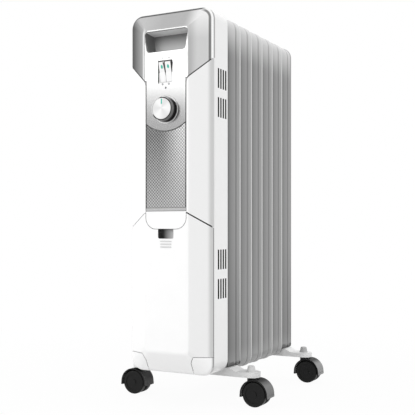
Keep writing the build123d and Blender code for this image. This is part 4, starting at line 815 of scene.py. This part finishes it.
# %% Plated and sheathed steel
def bare_metal(name, dark, light, mottle_mm, roughness):
    """Metal whose tone and roughness vary over spots of a given size."""
    metal, tree, place = new_material(name)
    mottle = add(tree, "ShaderNodeTexNoise", {"Vector": place}, {"Scale": 1 / (mottle_mm * MM), "Detail": 3})
    mottle = mottle.outputs["Fac"]
    tones = {MIX_A: linear(dark), MIX_B: linear(light)}
    toned = add(tree, "ShaderNodeMix", {"Factor": mottle}, tones, data_type="RGBA")
    spread = {"To Min": roughness - 0.1, "To Max": roughness + 0.1}
    rough = add(tree, "ShaderNodeMapRange", {"Value": mottle}, spread)
    mottled = {"Base Color": toned.outputs[MIX_RESULT], "Roughness": rough.outputs["Result"]}
    show(tree, add(tree, "ShaderNodeBsdfPrincipled", mottled, {"Metallic": 1.0}))
    return metal


zinc = bare_metal("zinc_plated_steel", dark="#AEB0B2", light="#CDCFD0", mottle_mm=3, roughness=0.35)
dress(zinc, "foot_clamps", "wing_nuts", "mounting_plate", "plate_screws", "rocker_pin", "hinge_pins",
      "thermal_cutout", "header_plug", "thermostat_shaft",
      *[name for name in nodes if name.endswith(("_stem", "_axle"))])
sheath = bare_metal("annealed_steel_sheath", dark="#7A736B", light="#988F85", mottle_mm=8, roughness=0.45)
dress(sheath, "heating_element")

# %% [markdown]
# ## Rubber and phenolic
# The gland and the gasket are black rubber, matt with a dusty bloom. The thermostat and the terminal block
# are moulded phenolic, a pale brown resin with a mineral filler that shows as fine specks. Bloom and specks
# are both a fine noise in colour and bump.


# %% Rubber and phenolic
def dull_moulding(name, dark, light, speck_mm, roughness):
    """Matt moulding with specks of a given size."""
    moulding, tree, place = new_material(name)
    speck = add(tree, "ShaderNodeTexNoise", {"Vector": place}, {"Scale": 1 / (speck_mm * MM), "Detail": 4})
    speck = speck.outputs["Fac"]
    tones = {MIX_A: linear(dark), MIX_B: linear(light)}
    toned = add(tree, "ShaderNodeMix", {"Factor": speck}, tones, data_type="RGBA")
    bumpy = add(tree, "ShaderNodeBump", {"Height": speck}, {"Distance": 0.05 * MM, "Strength": 0.5})
    specked = {"Base Color": toned.outputs[MIX_RESULT], "Normal": bumpy.outputs["Normal"]}
    show(tree, add(tree, "ShaderNodeBsdfPrincipled", specked, {"Roughness": roughness}))
    return moulding


rubber = dull_moulding("black_rubber", dark="#1A1A1A", light="#2A2A2A", speck_mm=1.5, roughness=0.75)
dress(rubber, "cord_gland", "element_gasket")
phenolic = dull_moulding("filled_phenolic", dark="#BFB49E", light="#D6CDB9", speck_mm=0.8, roughness=0.55)
dress(phenolic, "thermostat", "terminal_block")

# %% [markdown]
# ## Printed marks
# Above and below each rocker the head carries a tiny pad-printed mark: one bar, two bars, and a ring for
# off. A dot stands over the dial.
# A print is a film of ink, so each mark is a flat shape a few hundredths of a millimetre thick on the
# silver flat. It could be a picture in the lacquer, but a mesh needs no image and has clean edges.

# %% Ink and its film
INK_THICK, INK_SPECK_MM = 0.05 * MM, 0.5
flat_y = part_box("fascia")[0].y
ink, tree, place = new_material("grey_pad_print_ink")
speck = add(tree, "ShaderNodeTexNoise", {"Vector": place}, {"Scale": 1 / (INK_SPECK_MM * MM), "Detail": 2})
tones = {MIX_A: linear("#505254"), MIX_B: linear("#66686A")}
toned = add(tree, "ShaderNodeMix", {"Factor": speck.outputs["Fac"]}, tones, data_type="RGBA")
dried = {"Base Color": toned.outputs[MIX_RESULT]}
show(tree, add(tree, "ShaderNodeBsdfPrincipled", dried, {"Roughness": 0.6}))


def print_mark(name, outlines):
    """Flat ink shapes on the silver flat, each given by its outer points and those of its hole, if any."""
    mesh = bmesh.new()
    for outer, inner in outlines:
        front = [mesh.verts.new((x, flat_y - INK_THICK, z)) for x, z in outer]
        back = [mesh.verts.new((x, flat_y, z)) for x, z in outer]
        count = len(outer)
        if inner:
            front_hole = [mesh.verts.new((x, flat_y - INK_THICK, z)) for x, z in inner]
            back_hole = [mesh.verts.new((x, flat_y, z)) for x, z in inner]
            for k in range(count):
                after = (k + 1) % count
                mesh.faces.new((front[k], front[after], front_hole[after], front_hole[k]))
                mesh.faces.new((front_hole[k], front_hole[after], back_hole[after], back_hole[k]))
                mesh.faces.new((back[k], back_hole[k], back_hole[after], back[after]))
        else:
            mesh.faces.new(front)
            mesh.faces.new(list(reversed(back)))
        for k in range(count):
            after = (k + 1) % count
            mesh.faces.new((front[k], back[k], back[after], front[after]))
    bmesh.ops.recalc_face_normals(mesh, faces=mesh.faces)
    data = bpy.data.meshes.new(name)
    mesh.to_mesh(data)
    mesh.free()
    data.materials.append(ink)
    mark = bpy.data.objects.new(name, data)
    scene.collection.objects.link(mark)
    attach(mark, "radiator")
    print(name, "printed with", len(outlines), "shapes")


print("ink film", INK_THICK / MM, "mm thick on the flat at y", round(flat_y, 4))

# %% [markdown]
# The shapes are lists of points, worked out from a few sizes: four points for a bar, and a circle of points
# for the dot. A ring has a hole, so it gets a second, smaller circle.

# %% Bars, rings and the dot
SWITCH_X = 5.6 * MM
MARK_HIGH_Z, MARK_LOW_Z, DOT_Z = 548.4 * MM, 507.8 * MM, 502.0 * MM
BAR_WIDE, BAR_HIGH, BAR_GAP, RING_RADIUS, RING_POINTS = 0.9 * MM, 2.8 * MM, 2.0 * MM, 1.6 * MM, 24


def bar(x):
    """Four corners of an upright bar above the rockers."""
    corners = ((-0.5, -0.5), (0.5, -0.5), (0.5, 0.5), (-0.5, 0.5))
    return [(x + BAR_WIDE * across, MARK_HIGH_Z + BAR_HIGH * up) for across, up in corners]


def ring(x, z, radius):
    """Points of a circle."""
    angles = [tau * k / RING_POINTS for k in range(RING_POINTS)]
    return [(x + radius * cos(angle), z + radius * sin(angle)) for angle in angles]


print_mark("one_bar_mark", [(bar(-SWITCH_X), None)])
print_mark("two_bar_mark", [(bar(SWITCH_X + side * BAR_GAP / 2), None) for side in (-1, 1)])
off_rings = []
for mark_x in (-SWITCH_X, SWITCH_X):
    radii = (RING_RADIUS, RING_RADIUS - BAR_WIDE)
    off_rings.append([ring(mark_x, MARK_LOW_Z, radius) for radius in radii])
print_mark("off_ring_marks", off_rings)
print_mark("dial_dot_mark", [(ring(0, DOT_Z, RING_RADIUS), None)])
